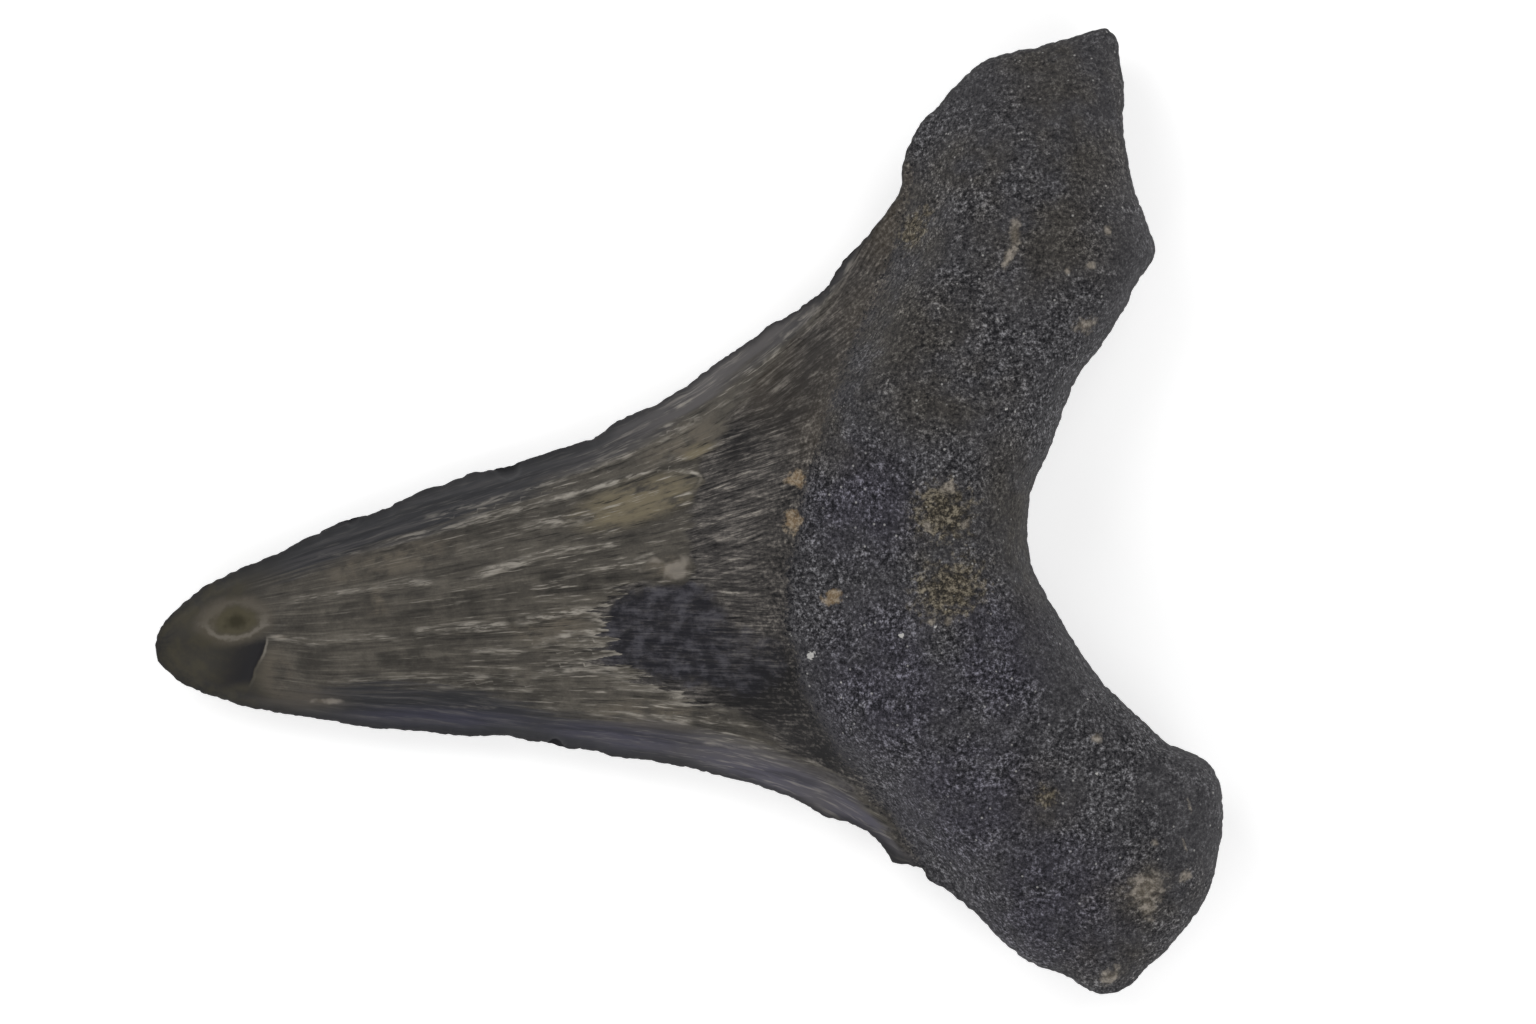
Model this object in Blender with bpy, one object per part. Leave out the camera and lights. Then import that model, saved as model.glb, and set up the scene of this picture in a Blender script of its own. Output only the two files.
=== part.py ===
"""A megalodon tooth lying on its flatter, labial face, as one closed solid.

The tooth's own frame has +X along the crown, from the tip to the root, +Y
across it and +Z up, out of the bulging lingual face.  The origin is on the
surface that the tooth rests on, under the middle of its box.

The solid is a flat sheet with the tooth's outline, filled with an even
lattice and extruded to two faces and a narrow wall between them.  The upper
face is then raised to the lingual relief and the lower one to the labial.
"""

import math

import bmesh
import bpy
import numpy as np
from mathutils import Vector, noise
from mathutils.geometry import delaunay_2d_cdt

NAME = "tooth"
MM = 0.001  # the dimensions below are millimetres

# Driving dimensions
AXIS_RISE = math.radians(8.0)  # the outline is drawn with its crown's axis rising by this
EDGE_STEP = 1.35  # length of the facets along the outline
CURVE_STEPS = 12  # that each span of the outline's curve is measured in
RING_INSETS = (0.7, 1.8)  # rows of points that follow it inside, for its rounding
LATTICE_STEP = 1.6  # size of the facets inside those
RING_CLEARANCE = 0.93  # nearest that a row comes to the outline, in its insets
RING_GAP = 0.62  # nearest that two of its points come, in facet lengths
CLEARANCE = 0.7  # nearest that the lattice comes to the rows, in lattice steps
MERGE_GAP = 1e-6
CUTTING_EDGE_LAND = 0.4  # height of the wall round the outline, along the crown
ROOT_EDGE_LAND = 4.0  # and round the root, which is blunt
LOBE_END_LAND = 2.4  # and at the ends of its lobes

# The outline in stretches from corner to corner, drawn from the crown's tip,
# clockwise seen from above.  A smooth curve runs through each stretch.
UPPER_CUTTING_EDGE = (
    (0.0, 0.0), (0.3, 1.5), (1.2, 2.8), (2.7, 4.3), (4.5, 5.8), (6.7, 7.0), (9.5, 8.3),
    (12.4, 9.4), (14.5, 10.6), (16.7, 11.6), (18.8, 12.6), (21.6, 13.3), (24.5, 14.6),
    (26.8, 15.7), (29.2, 16.4), (31.8, 17.5), (34.2, 17.8), (38.8, 19.3), (41.0, 20.0),
    (44.5, 21.2), (46.3, 22.7), (49.3, 23.9), (51.7, 25.2), (54.5, 27.2), (57.0, 29.0),
    (59.5, 30.6), (61.5, 32.3), (63.3, 33.1), (65.7, 34.8), (67.3, 36.1), (68.6, 38.3),
    (70.5, 40.2), (72.7, 42.8), (74.8, 45.9),
)
UPPER_LOBE = (
    (74.8, 45.9), (74.7, 47.8), (75.2, 49.8), (76.7, 52.7), (78.2, 54.1), (80.7, 57.0),
    (83.0, 58.6), (85.7, 59.5), (88.7, 60.1), (91.3, 60.9), (94.8, 61.9),
)
UPPER_LOBE_END = (
    (94.8, 61.9), (95.9, 61.3), (96.2, 60.6), (96.3, 58.8), (96.9, 55.6), (96.6, 53.5),
    (96.7, 50.9), (97.2, 48.0), (97.7, 45.6), (98.8, 42.8), (99.9, 39.7),
)
NOTCH = (
    (99.9, 39.7), (99.0, 37.9), (97.9, 36.6), (97.2, 34.8), (95.2, 31.5), (93.5, 29.0),
    (92.0, 27.2), (91.0, 24.8), (90.0, 22.0), (88.8, 18.9), (87.9, 17.3), (87.2, 15.0),
    (87.0, 12.5), (87.1, 9.9), (87.6, 7.7), (89.0, 5.1), (90.5, 2.6), (92.5, -0.7),
    (94.5, -3.4), (97.5, -6.3), (100.8, -9.5),
)
LOWER_LOBE = (
    (100.8, -9.5), (102.5, -10.2), (105.0, -11.3), (105.8, -12.3), (106.4, -14.4),
    (106.5, -17.7), (106.1, -20.7), (105.4, -23.5), (104.2, -26.1), (102.5, -28.3),
    (100.9, -30.2), (98.7, -32.1), (97.6, -33.5), (96.5, -34.0), (95.0, -34.5),
    (93.5, -34.2), (91.5, -32.8), (89.5, -32.0), (87.5, -31.4), (86.2, -30.3),
    (84.5, -28.9), (83.0, -27.2), (80.5, -25.1), (78.7, -23.7), (77.5, -23.2),
)
LOWER_SHOULDER = ((77.5, -23.2), (77.0, -22.2), (76.5, -21.8), (74.8, -21.6), (73.8, -21.3))
LOWER_CUTTING_EDGE = (
    (73.8, -21.3), (72.9, -19.8), (71.5, -18.4), (69.5, -17.4), (66.8, -16.7), (64.5, -15.2),
    (62.8, -14.6), (59.5, -13.4), (56.5, -12.7), (52.3, -11.7), (48.7, -11.1), (45.7, -10.8),
    (43.7, -10.1), (40.8, -10.0), (39.8, -9.4), (37.5, -9.3), (34.5, -8.6), (32.0, -8.8),
    (29.5, -8.6), (25.5, -8.2), (21.5, -7.9), (18.0, -7.3), (13.5, -6.6), (9.5, -5.9),
    (6.5, -5.0), (3.3, -3.8), (1.0, -2.1), (0.1, -0.9), (0.0, 0.0),
)
OUTLINE = (
    UPPER_CUTTING_EDGE, UPPER_LOBE, UPPER_LOBE_END, NOTCH, LOWER_LOBE, LOWER_SHOULDER,
    LOWER_CUTTING_EDGE,
)

# Heights above the resting surface, in the tooth's frame.  "Along" is the
# distance from the tip along the crown, "across" is measured from its axis.
EDGE_HEIGHT = ((0, 3.9), (20, 3.5), (45, 3.7), (62, 4.4), (72, 5.6), (82, 8.0), (110, 8.0))
EDGE_DROP_AT_LOBE_ENDS = 2.2
LOBE_END_ACROSS = (25.0, 48.0)  # where the ends begin and are full
CREST_ALONG = (
    (0, 5.2), (5, 6.7), (12, 8.2), (20, 9.4), (40, 12.2), (56, 14.6), (65, 16.4), (72, 19.2),
    (79, 22.0), (86, 22.6), (110, 22.6),
)
CREST_ACROSS = ((0, 23.2), (10, 22.4), (20, 19.2), (30, 16.2), (40, 13.6), (50, 10.8))
CREST_BLEND = 1.6  # over which the two crests above are blended
BELLY_ALONG = ((0, 2.7), (6, 1.7), (13, 0.8), (22, 0.1), (34, -0.3), (58, -0.3), (68, 0.0), (84, -0.5))

# Reach of the relief in from the outline: where the crest height is met
CROWN_REACH = ((0, 3.2), (5, 5.2), (10, 7.2), (20, 10.2), (40, 14.2), (60, 20.5), (72, 22.0))
ROOT_REACH = 10.0
BELLY_REACH = 0.85  # on the crown's labial face, in lingual reaches
ROOT_BELLY_REACH = 8.5

# The lingual neck, where the bare root begins, and the labial one: the
# distance along the tooth for each distance across it
NECK = (
    (-34, 74.0), (-29, 71.3), (-21, 66.8), (-12, 63.0), (-6, 62.7), (0, 64.0), (8, 66.7),
    (15, 70.2), (25, 76.6), (34, 80.6), (48, 86.0),
)
LABIAL_NECK = ((-34, 72.0), (-20, 71.6), (0, 72.2), (15, 74.6), (34, 80.6), (48, 86.0))
NECK_BLEND = 8.0  # length over which the crown's section becomes the root's
NECK_GROOVE_DEPTH = 0.7
NECK_GROOVE_WIDTH = 2.6
NECK_GROOVE_INSET = (0.5, 5.0)  # it fades in from the outline in between
LABIAL_STEP = 0.8  # the enamel's step over the root's labial face
LABIAL_STEP_RUN = 2.2
LABIAL_STEP_END = (3.0, 11.0)  # past the neck, the root comes back level in between
LABIAL_HOLLOW = 1.1  # the shallow hollow of the root between its lobes
LABIAL_HOLLOW_ACROSS = (4.0, 22.0)  # it fades out in between

# The thin enamel heels where the cutting edges run out at the root
HEEL_ALONG = (58.0, 70.0)  # they fade in between these
HEEL_END = (0.0, 7.0)  # and out between these, past the neck
HEEL_REACH = 12.0  # how far in from the edge they stay thin

# Hollows in the lingual face: along, across, half length, half width, depth
HOLLOW_FLOOR = 0.3  # the share of each one's radius that is at its full depth
FORAMINA = ((79.9, 2.6, 3.2, 3.0, 0.9), (79.6, -5.2, 3.2, 3.4, 0.7))
WEAR_FACET = (8.2, 1.6, 3.4, 2.2, 0.35)
# The spall beside it ends in a step towards the root
SPALL_CENTRE = (7.4, -2.4)
SPALL_HALF_SIZE = (3.9, 2.9)
SPALL_DEPTH = 0.55
SPALL_STEP = (0.8, 1.1)  # where the step starts and ends, in half lengths
SPALL_FLANKS = (0.5, 1.0)  # and its sides, in half widths

# The worn slope at the end of the upper lobe
LOBE_FACET_REACH = 5.0
LOBE_FACET_ACROSS = (30.0, 42.0)  # it fades in between these

# Lumps: size and height of each layer
ROOT_LUMPS = ((9.0, 0.55), (4.5, 0.3))
CROWN_LUMPS = ((16.0, 0.25),)
LABIAL_LUMPS = ((7.0, 0.4),)

EVENING_ROUNDS = 6  # of the flat lattice, before it is raised
EVENING_SHARE = 0.5  # of the way to its neighbours that a vertex moves in a round

# Look of the fossil: a dark grey mix of root and worn enamel
COLOUR = (0.055, 0.051, 0.049)
ROUGHNESS = 0.55
SHARP_ANGLE = math.radians(50.0)


def clear_scene():
    for thing in list(bpy.data.objects):
        bpy.data.objects.remove(thing, do_unlink=True)


def smooth_step(values, low, high):
    t = np.clip((values - low) / (high - low), 0.0, 1.0)
    return t * t * (3.0 - 2.0 * t)


def station_curve(values, stations):
    """Smooth curve through (place, height) stations, level beyond the last."""
    place, height = np.array(stations, float).T
    slope = np.gradient(height, place)
    slope[0] = slope[-1] = 0.0
    at = np.clip(values, place[0], place[-1])
    right = np.clip(np.searchsorted(place, at), 1, len(place) - 1)
    left = right - 1
    span = place[right] - place[left]
    t = (at - place[left]) / span
    return (
        height[left] * (1 + 2 * t) * (1 - t) ** 2
        + slope[left] * span * t * (1 - t) ** 2
        + height[right] * t**2 * (3 - 2 * t)
        + slope[right] * span * t**2 * (t - 1)
    )


def smooth_stretch(points):
    """Evenly spaced points on a centripetal curve through one stretch, without its end."""
    p = np.array(points, float)
    p = np.vstack((2 * p[0] - p[1], p, 2 * p[-1] - p[-2]))
    dense = []
    for i in range(1, len(p) - 2):
        a, b, c, d = p[i - 1 : i + 3]
        knots = np.cumsum([0.0] + [math.dist(*pair) ** 0.5 for pair in ((a, b), (b, c), (c, d))])
        for t in np.linspace(knots[1], knots[2], CURVE_STEPS, endpoint=False):
            ab = a + (b - a) * (t - knots[0]) / (knots[1] - knots[0])
            bc = b + (c - b) * (t - knots[1]) / (knots[2] - knots[1])
            cd = c + (d - c) * (t - knots[2]) / (knots[3] - knots[2])
            abc = ab + (bc - ab) * (t - knots[0]) / (knots[2] - knots[0])
            bcd = bc + (cd - bc) * (t - knots[1]) / (knots[3] - knots[1])
            dense.append(abc + (bcd - abc) * (t - knots[1]) / (knots[2] - knots[1]))
    dense = np.array(dense + [p[-2]])
    run = np.concatenate(([0.0], np.cumsum(np.linalg.norm(np.diff(dense, axis=0), axis=1))))
    count = max(2, round(run[-1] / EDGE_STEP))
    at = np.linspace(0.0, run[-1], count, endpoint=False)
    return np.column_stack([np.interp(at, run, dense[:, axis]) for axis in (0, 1)])


def tooth_outline():
    """The outline with the crown's axis level, counter-clockwise."""
    drawn = np.vstack([smooth_stretch(stretch) for stretch in OUTLINE])
    c, s = math.cos(AXIS_RISE), math.sin(AXIS_RISE)
    level = np.column_stack((drawn[:, 0] * c + drawn[:, 1] * s, drawn[:, 1] * c - drawn[:, 0] * s))
    return level[::-1]


def distance_to_outline(points, outline):
    start = outline
    along = np.roll(outline, -1, axis=0) - start
    length_squared = (along**2).sum(axis=1)
    nearest = np.full(len(points), np.inf)
    for a, d, l2 in zip(start, along, length_squared):
        t = np.clip(((points - a) @ d) / l2, 0.0, 1.0)
        gap = np.linalg.norm(points - a - t[:, None] * d, axis=1)
        nearest = np.minimum(nearest, gap)
    return nearest


def inside_outline(points, outline):
    inside = np.zeros(len(points), bool)
    for a, b in zip(outline, np.roll(outline, -1, axis=0)):
        crosses = (a[1] > points[:, 1]) != (b[1] > points[:, 1])
        if a[1] != b[1]:
            at = a[0] + (points[:, 1] - a[1]) * (b[0] - a[0]) / (b[1] - a[1])
            inside ^= crosses & (points[:, 0] < at)
    return inside


def ring_points(outline, inset):
    """Points that follow the outline inside it, without those that a corner crowds."""
    along = np.roll(outline, -1, axis=0) - np.roll(outline, 1, axis=0)
    inward = np.column_stack((-along[:, 1], along[:, 0])) / np.linalg.norm(along, axis=1)[:, None]
    points = outline + inset * inward
    points = points[distance_to_outline(points, outline) > RING_CLEARANCE * inset]
    kept = [points[0]]
    for point in points[1:]:
        if min(math.dist(point, other) for other in kept) > RING_GAP * EDGE_STEP:
            kept.append(point)
    return np.array(kept)


def lattice_points(outline):
    """Points of a triangular lattice that keep clear of the rows along the outline."""
    low, high = outline.min(axis=0), outline.max(axis=0)
    row_step = LATTICE_STEP * math.sqrt(3) / 2
    points = []
    for row, y in enumerate(np.arange(low[1], high[1], row_step)):
        shift = LATTICE_STEP / 2 * (row % 2)
        points += [(x, y) for x in np.arange(low[0] + shift, high[0], LATTICE_STEP)]
    points = np.array(points)
    clear = distance_to_outline(points, outline) > RING_INSETS[-1] + CLEARANCE * LATTICE_STEP
    return points[inside_outline(points, outline) & clear]


def filled_sheet(outline):
    """A flat bmesh of the outline, filled with even triangles."""
    rings = [ring_points(outline, inset) for inset in RING_INSETS]
    points = np.vstack((outline, *rings, lattice_points(outline)))
    rim = [(i, (i + 1) % len(outline)) for i in range(len(outline))]
    flat = [Vector(p) for p in points]
    inside_only = 1
    verts, _, faces, *_ = delaunay_2d_cdt(flat, rim, [], inside_only, MERGE_GAP)
    sheet = bmesh.new()
    made = [sheet.verts.new((v.x, v.y, 0.0)) for v in verts]
    for face in faces:
        sheet.faces.new([made[i] for i in face])
    inner = [vert for vert in made if not vert.is_boundary]
    for _ in range(EVENING_ROUNDS):
        bmesh.ops.smooth_vert(sheet, verts=inner, factor=EVENING_SHARE, use_axis_x=True, use_axis_y=True)
    bmesh.ops.recalc_face_normals(sheet, faces=sheet.faces[:])
    return sheet


def two_faces(sheet):
    """Extrudes the sheet; returns the rims and insides of its upper and lower faces."""
    if sheet.faces[:][0].normal.z > 0:
        bmesh.ops.reverse_faces(sheet, faces=sheet.faces[:])
    lower = sheet.verts[:]
    grown = bmesh.ops.extrude_face_region(sheet, geom=sheet.faces[:])["geom"]
    upper = [item for item in grown if isinstance(item, bmesh.types.BMVert)]
    return upper, lower


def lumps(points, layers):
    """Rolling unevenness of a natural surface, the same on every run."""
    height = np.zeros(len(points))
    for size, amount in layers:
        height += [amount * noise.noise(Vector((x / size, y / size, size))) for x, y in points]
    return height


def bowl(points, along, across, half_length, half_width, depth):
    """Depth of a round-edged hollow at each point."""
    radius = np.hypot((points[:, 0] - along) / half_length, (points[:, 1] - across) / half_width)
    return depth * (1.0 - smooth_step(radius, HOLLOW_FLOOR, 1.0))


def spall(points):
    """A flake's scar that deepens towards the root and ends there in a step."""
    x = (points[:, 0] - SPALL_CENTRE[0]) / SPALL_HALF_SIZE[0]
    y = (points[:, 1] - SPALL_CENTRE[1]) / SPALL_HALF_SIZE[1]
    deepening = np.clip((x + 1.0) / 2.0, 0.0, 1.0)
    inside = (1.0 - smooth_step(x, *SPALL_STEP)) * (1.0 - smooth_step(np.abs(y), *SPALL_FLANKS))
    return SPALL_DEPTH * deepening * inside


class Relief:
    """Heights of the lingual and labial faces at vertices of the sheet."""

    def __init__(self, verts, outline):
        self.points = np.array([vert.co.xy for vert in verts])
        self.x, self.y = self.points.T
        self.inset = distance_to_outline(self.points, outline)
        self.past_neck = self.x - station_curve(self.y, NECK)
        self.root = smooth_step(self.past_neck, -NECK_BLEND / 2, NECK_BLEND / 2)
        lobe_end = smooth_step(np.abs(self.y), *LOBE_END_ACROSS)
        self.edge = station_curve(self.x, EDGE_HEIGHT) - EDGE_DROP_AT_LOBE_ENDS * lobe_end
        root_land = ROOT_EDGE_LAND + (LOBE_END_LAND - ROOT_EDGE_LAND) * lobe_end
        self.land = CUTTING_EDGE_LAND + (root_land - CUTTING_EDGE_LAND) * self.root

    def lingual(self):
        crest = self.crest() + self.root * lumps(self.points, ROOT_LUMPS)
        crest += (1.0 - self.root) * lumps(self.points, CROWN_LUMPS)
        rim = self.edge + self.land / 2
        height = rim + (crest - rim) * self.lingual_fullness()
        groove = np.exp(-((self.past_neck / NECK_GROOVE_WIDTH) ** 2))
        height -= NECK_GROOVE_DEPTH * groove * smooth_step(self.inset, *NECK_GROOVE_INSET)
        for hollow in (*FORAMINA, WEAR_FACET):
            height -= bowl(self.points, *hollow)
        return np.maximum(height - spall(self.points), rim)

    def crest(self):
        """The lower of the crests along and across the tooth, blended where they cross."""
        along = station_curve(self.x, CREST_ALONG)
        across = station_curve(np.abs(self.y), CREST_ACROSS)
        apart = np.clip((across - along) / (2 * CREST_BLEND) + 0.5, 0.0, 1.0)
        return across + (along - across) * apart - CREST_BLEND * apart * (1.0 - apart)

    def lingual_fullness(self):
        """How much of the crest's height is met, from 0 at the outline to 1 inland."""
        crown = parabola(self.inset / station_curve(self.x, CROWN_REACH))
        facet = LOBE_FACET_REACH * smooth_step(self.y, *LOBE_FACET_ACROSS)
        root = quarter_round(self.inset / (ROOT_REACH + facet))
        full = crown + (root - crown) * self.root
        thin = smooth_step(self.inset, 0.0, HEEL_REACH)
        return full + (np.minimum(full, thin) - full) * self.heel()

    def heel(self):
        """1 on the crown beside the root, 0 away from it."""
        return smooth_step(self.x, *HEEL_ALONG) * (1.0 - smooth_step(self.past_neck, *HEEL_END))

    def labial(self):
        past_neck = self.x - station_curve(self.y, LABIAL_NECK)
        root = smooth_step(past_neck, 0.0, LABIAL_STEP_RUN)
        belly = station_curve(self.x, BELLY_ALONG) + root * lumps(self.points, LABIAL_LUMPS)
        belly += LABIAL_STEP * root * (1.0 - smooth_step(past_neck, *LABIAL_STEP_END))
        belly += LABIAL_HOLLOW * root * (1.0 - smooth_step(np.abs(self.y), *LABIAL_HOLLOW_ACROSS))
        crown = parabola(self.inset / (BELLY_REACH * station_curve(self.x, CROWN_REACH)))
        full = crown + (quarter_round(self.inset / ROOT_BELLY_REACH) - crown) * self.root
        rim = self.edge - self.land / 2
        return rim - (rim - belly) * full


def parabola(reach):
    return 1.0 - (1.0 - np.clip(reach, 0.0, 1.0)) ** 2


def quarter_round(reach):
    return np.sqrt(parabola(reach))


def tooth_mesh():
    outline = tooth_outline()
    sheet = filled_sheet(outline)
    upper, lower = two_faces(sheet)
    for vert, height in zip(upper, Relief(upper, outline).lingual()):
        vert.co.z = height
    for vert, height in zip(lower, Relief(lower, outline).labial()):
        vert.co.z = max(height, 0.0)
    middle = (outline.min(axis=0) + outline.max(axis=0)) / 2
    bmesh.ops.translate(sheet, verts=sheet.verts[:], vec=(-middle[0], -middle[1], 0.0))
    bmesh.ops.scale(sheet, verts=sheet.verts[:], vec=(MM, MM, MM))
    bmesh.ops.recalc_face_normals(sheet, faces=sheet.faces[:])
    mesh = bpy.data.meshes.new(NAME)
    sheet.to_mesh(mesh)
    sheet.free()
    mesh.shade_smooth()
    mesh.set_sharp_from_angle(angle=SHARP_ANGLE)
    return mesh


def tooth_material():
    material = bpy.data.materials.new("fossil_tooth")
    material.use_nodes = True
    shader = material.node_tree.nodes["Principled BSDF"]
    shader.inputs["Base Color"].default_value = (*COLOUR, 1.0)
    shader.inputs["Roughness"].default_value = ROUGHNESS
    shader.inputs["Metallic"].default_value = 0.0
    return material


def main():
    clear_scene()
    mesh = tooth_mesh()
    mesh.materials.append(tooth_material())
    bpy.context.collection.objects.link(bpy.data.objects.new(NAME, mesh))


if __name__ == "__main__":
    main()
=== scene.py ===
"""A fossil megalodon tooth lying on a pale floor.

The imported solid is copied, cut fine and carved: enamel edge, streaks, fibres, pits and stone grain.
Lengths are in metres where Blender reads them, and in millimetres in the lists of places on the tooth.
Those places are (along, across) from the middle of the tooth: along from the tip to the root, and
across towards the longer root lobe.
"""

import math

import bmesh
import bpy
import numpy as np
from bpy.props import (
    FloatProperty,
    FloatVectorProperty,
    IntProperty,
    PointerProperty,
)
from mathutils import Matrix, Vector, noise
from mathutils.kdtree import KDTree


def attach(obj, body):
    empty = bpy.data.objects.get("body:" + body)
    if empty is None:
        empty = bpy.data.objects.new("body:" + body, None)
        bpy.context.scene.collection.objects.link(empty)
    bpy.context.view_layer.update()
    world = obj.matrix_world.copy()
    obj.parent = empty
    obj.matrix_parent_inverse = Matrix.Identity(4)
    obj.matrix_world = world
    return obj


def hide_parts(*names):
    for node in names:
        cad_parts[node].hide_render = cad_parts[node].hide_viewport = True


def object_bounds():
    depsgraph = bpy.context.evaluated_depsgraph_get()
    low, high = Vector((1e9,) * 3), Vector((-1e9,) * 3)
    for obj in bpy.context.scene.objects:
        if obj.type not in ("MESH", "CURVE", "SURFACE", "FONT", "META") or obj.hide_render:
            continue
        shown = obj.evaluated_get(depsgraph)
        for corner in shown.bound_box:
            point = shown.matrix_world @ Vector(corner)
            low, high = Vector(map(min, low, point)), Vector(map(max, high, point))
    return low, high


bl_info = {
    "name": "Fossil megalodon tooth",
    "version": (1, 0, 0),
    "blender": (4, 5, 0),
    "location": "3D View > Sidebar > Fossil",
    "description": "Carves, colours and lights a fossil tooth over its packed solid",
    "category": "Object",
}

MM = 0.001

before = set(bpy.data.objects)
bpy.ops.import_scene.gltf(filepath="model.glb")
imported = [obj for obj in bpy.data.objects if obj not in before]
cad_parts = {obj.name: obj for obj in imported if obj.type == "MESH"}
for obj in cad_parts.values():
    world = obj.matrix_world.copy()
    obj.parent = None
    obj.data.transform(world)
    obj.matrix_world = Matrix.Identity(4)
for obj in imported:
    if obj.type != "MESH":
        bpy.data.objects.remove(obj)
CAD_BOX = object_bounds()

# ---------------------------------------------------------------- places on the tooth, in millimetres

# Where the worn enamel ends in fingers over the fibrous band, from the upper heel to the lower one.
ENAMEL_END = (
    (24.2, 30.6), (20.0, 25.0), (16.2, 21.3), (11.6, 17.3), (7.3, 13.9), (6.4, 11.6), (4.2, 10.4),
    (4.4, 8.4), (3.4, 7.4), (2.9, 5.4), (2.6, 2.8), (2.3, 1.2), (2.3, -0.3), (0.9, -1.5), (-0.9, -1.4),
    (-3.2, -0.8), (-6.2, -1.7), (-7.6, -3.2), (-6.9, -6.7), (-8.5, -7.3), (-7.7, -8.8), (-4.8, -9.8),
    (-2.7, -11.3), (1.6, -13.2), (4.9, -14.1), (6.6, -16.5), (8.8, -19.2), (11.9, -21.7), (15.6, -24.6),
    (17.7, -27.0), (20.6, -33.7),
)
# Where the root's grain starts, on the lingual side and on the labial side.
ROOT_START = (
    (29.6, 36.8), (26.7, 29.7), (24.5, 24.9), (21.9, 21.2), (18.2, 14.7), (14.5, 7.2), (12.0, -0.5),
    (10.7, -6.3), (10.9, -12.3), (12.7, -17.6), (15.1, -22.0), (17.8, -26.7), (21.3, -34.5),
)
LABIAL_ROOT_START = (
    (33.8, 48.0), (28.4, 34.0), (22.4, 15.0), (20.0, 0.0), (19.4, -20.0), (19.8, -34.0), (20.5, -42.0),
)
# The crown's smooth margins lie outside these two lines.
UPPER_MARGIN = (
    (-47.2, 3.1), (-42.0, 4.1), (-36.8, 5.0), (-31.6, 5.6), (-26.4, 6.6), (-21.3, 7.4), (-16.0, 9.0),
    (-10.8, 10.3), (-5.6, 11.6), (-0.3, 13.3), (5.1, 16.1), (10.6, 18.9), (16.1, 22.1), (22.9, 27.7),
)
LOWER_MARGIN = (
    (-45.1, -6.2), (-38.4, -6.6), (-33.0, -6.8), (-28.5, -7.3), (-23.7, -8.4), (-18.8, -10.0),
    (-14.0, -11.9), (-9.1, -13.5), (-4.2, -14.5), (0.6, -16.0), (5.4, -18.2), (10.1, -20.4),
    (14.6, -24.0), (19.2, -30.8),
)
# Lines that the streaks follow as they fan out from the tip: each line's number across the crown,
# and where it runs at the stations.
STREAM_STATIONS = (-52.2, -44, -36, -26, -16, -6, 4, 12, 20, 28)
STREAM_LINES = (
    (-3.3, (-0.6, -7.6, -10.0, -12.4, -14.9, -17.6, -20.6, -24.6, -30.5, -39.0)),
    (0.0, (-0.5, -5.2, -6.9, -8.9, -11.8, -13.9, -16.4, -18.9, -23.2, -30.0)),
    (3.4, (-0.4, -3.6, -6.3, -7.0, -8.4, -9.8, -11.5, -13.1, -15.6, -19.5)),
    (8.7, (-0.3, -0.1, -1.7, -2.4, -3.1, -4.1, -5.5, -6.6, -7.9, -9.5)),
    (14.2, (-0.2, 2.6, 2.35, 2.2, 2.4, 2.65, 3.1, 3.7, 4.4, 5.5)),
    (19.7, (-0.1, 3.9, 5.3, 6.9, 7.9, 8.9, 11.0, 12.7, 15.4, 19.0)),
    (21.2, (0.0, 4.7, 6.1, 7.5, 9.4, 11.2, 13.7, 17.0, 21.6, 27.5)),
    (24.3, (0.2, 5.9, 8.2, 10.7, 12.5, 14.2, 17.8, 22.0, 27.3, 36.0)),
)
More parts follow.
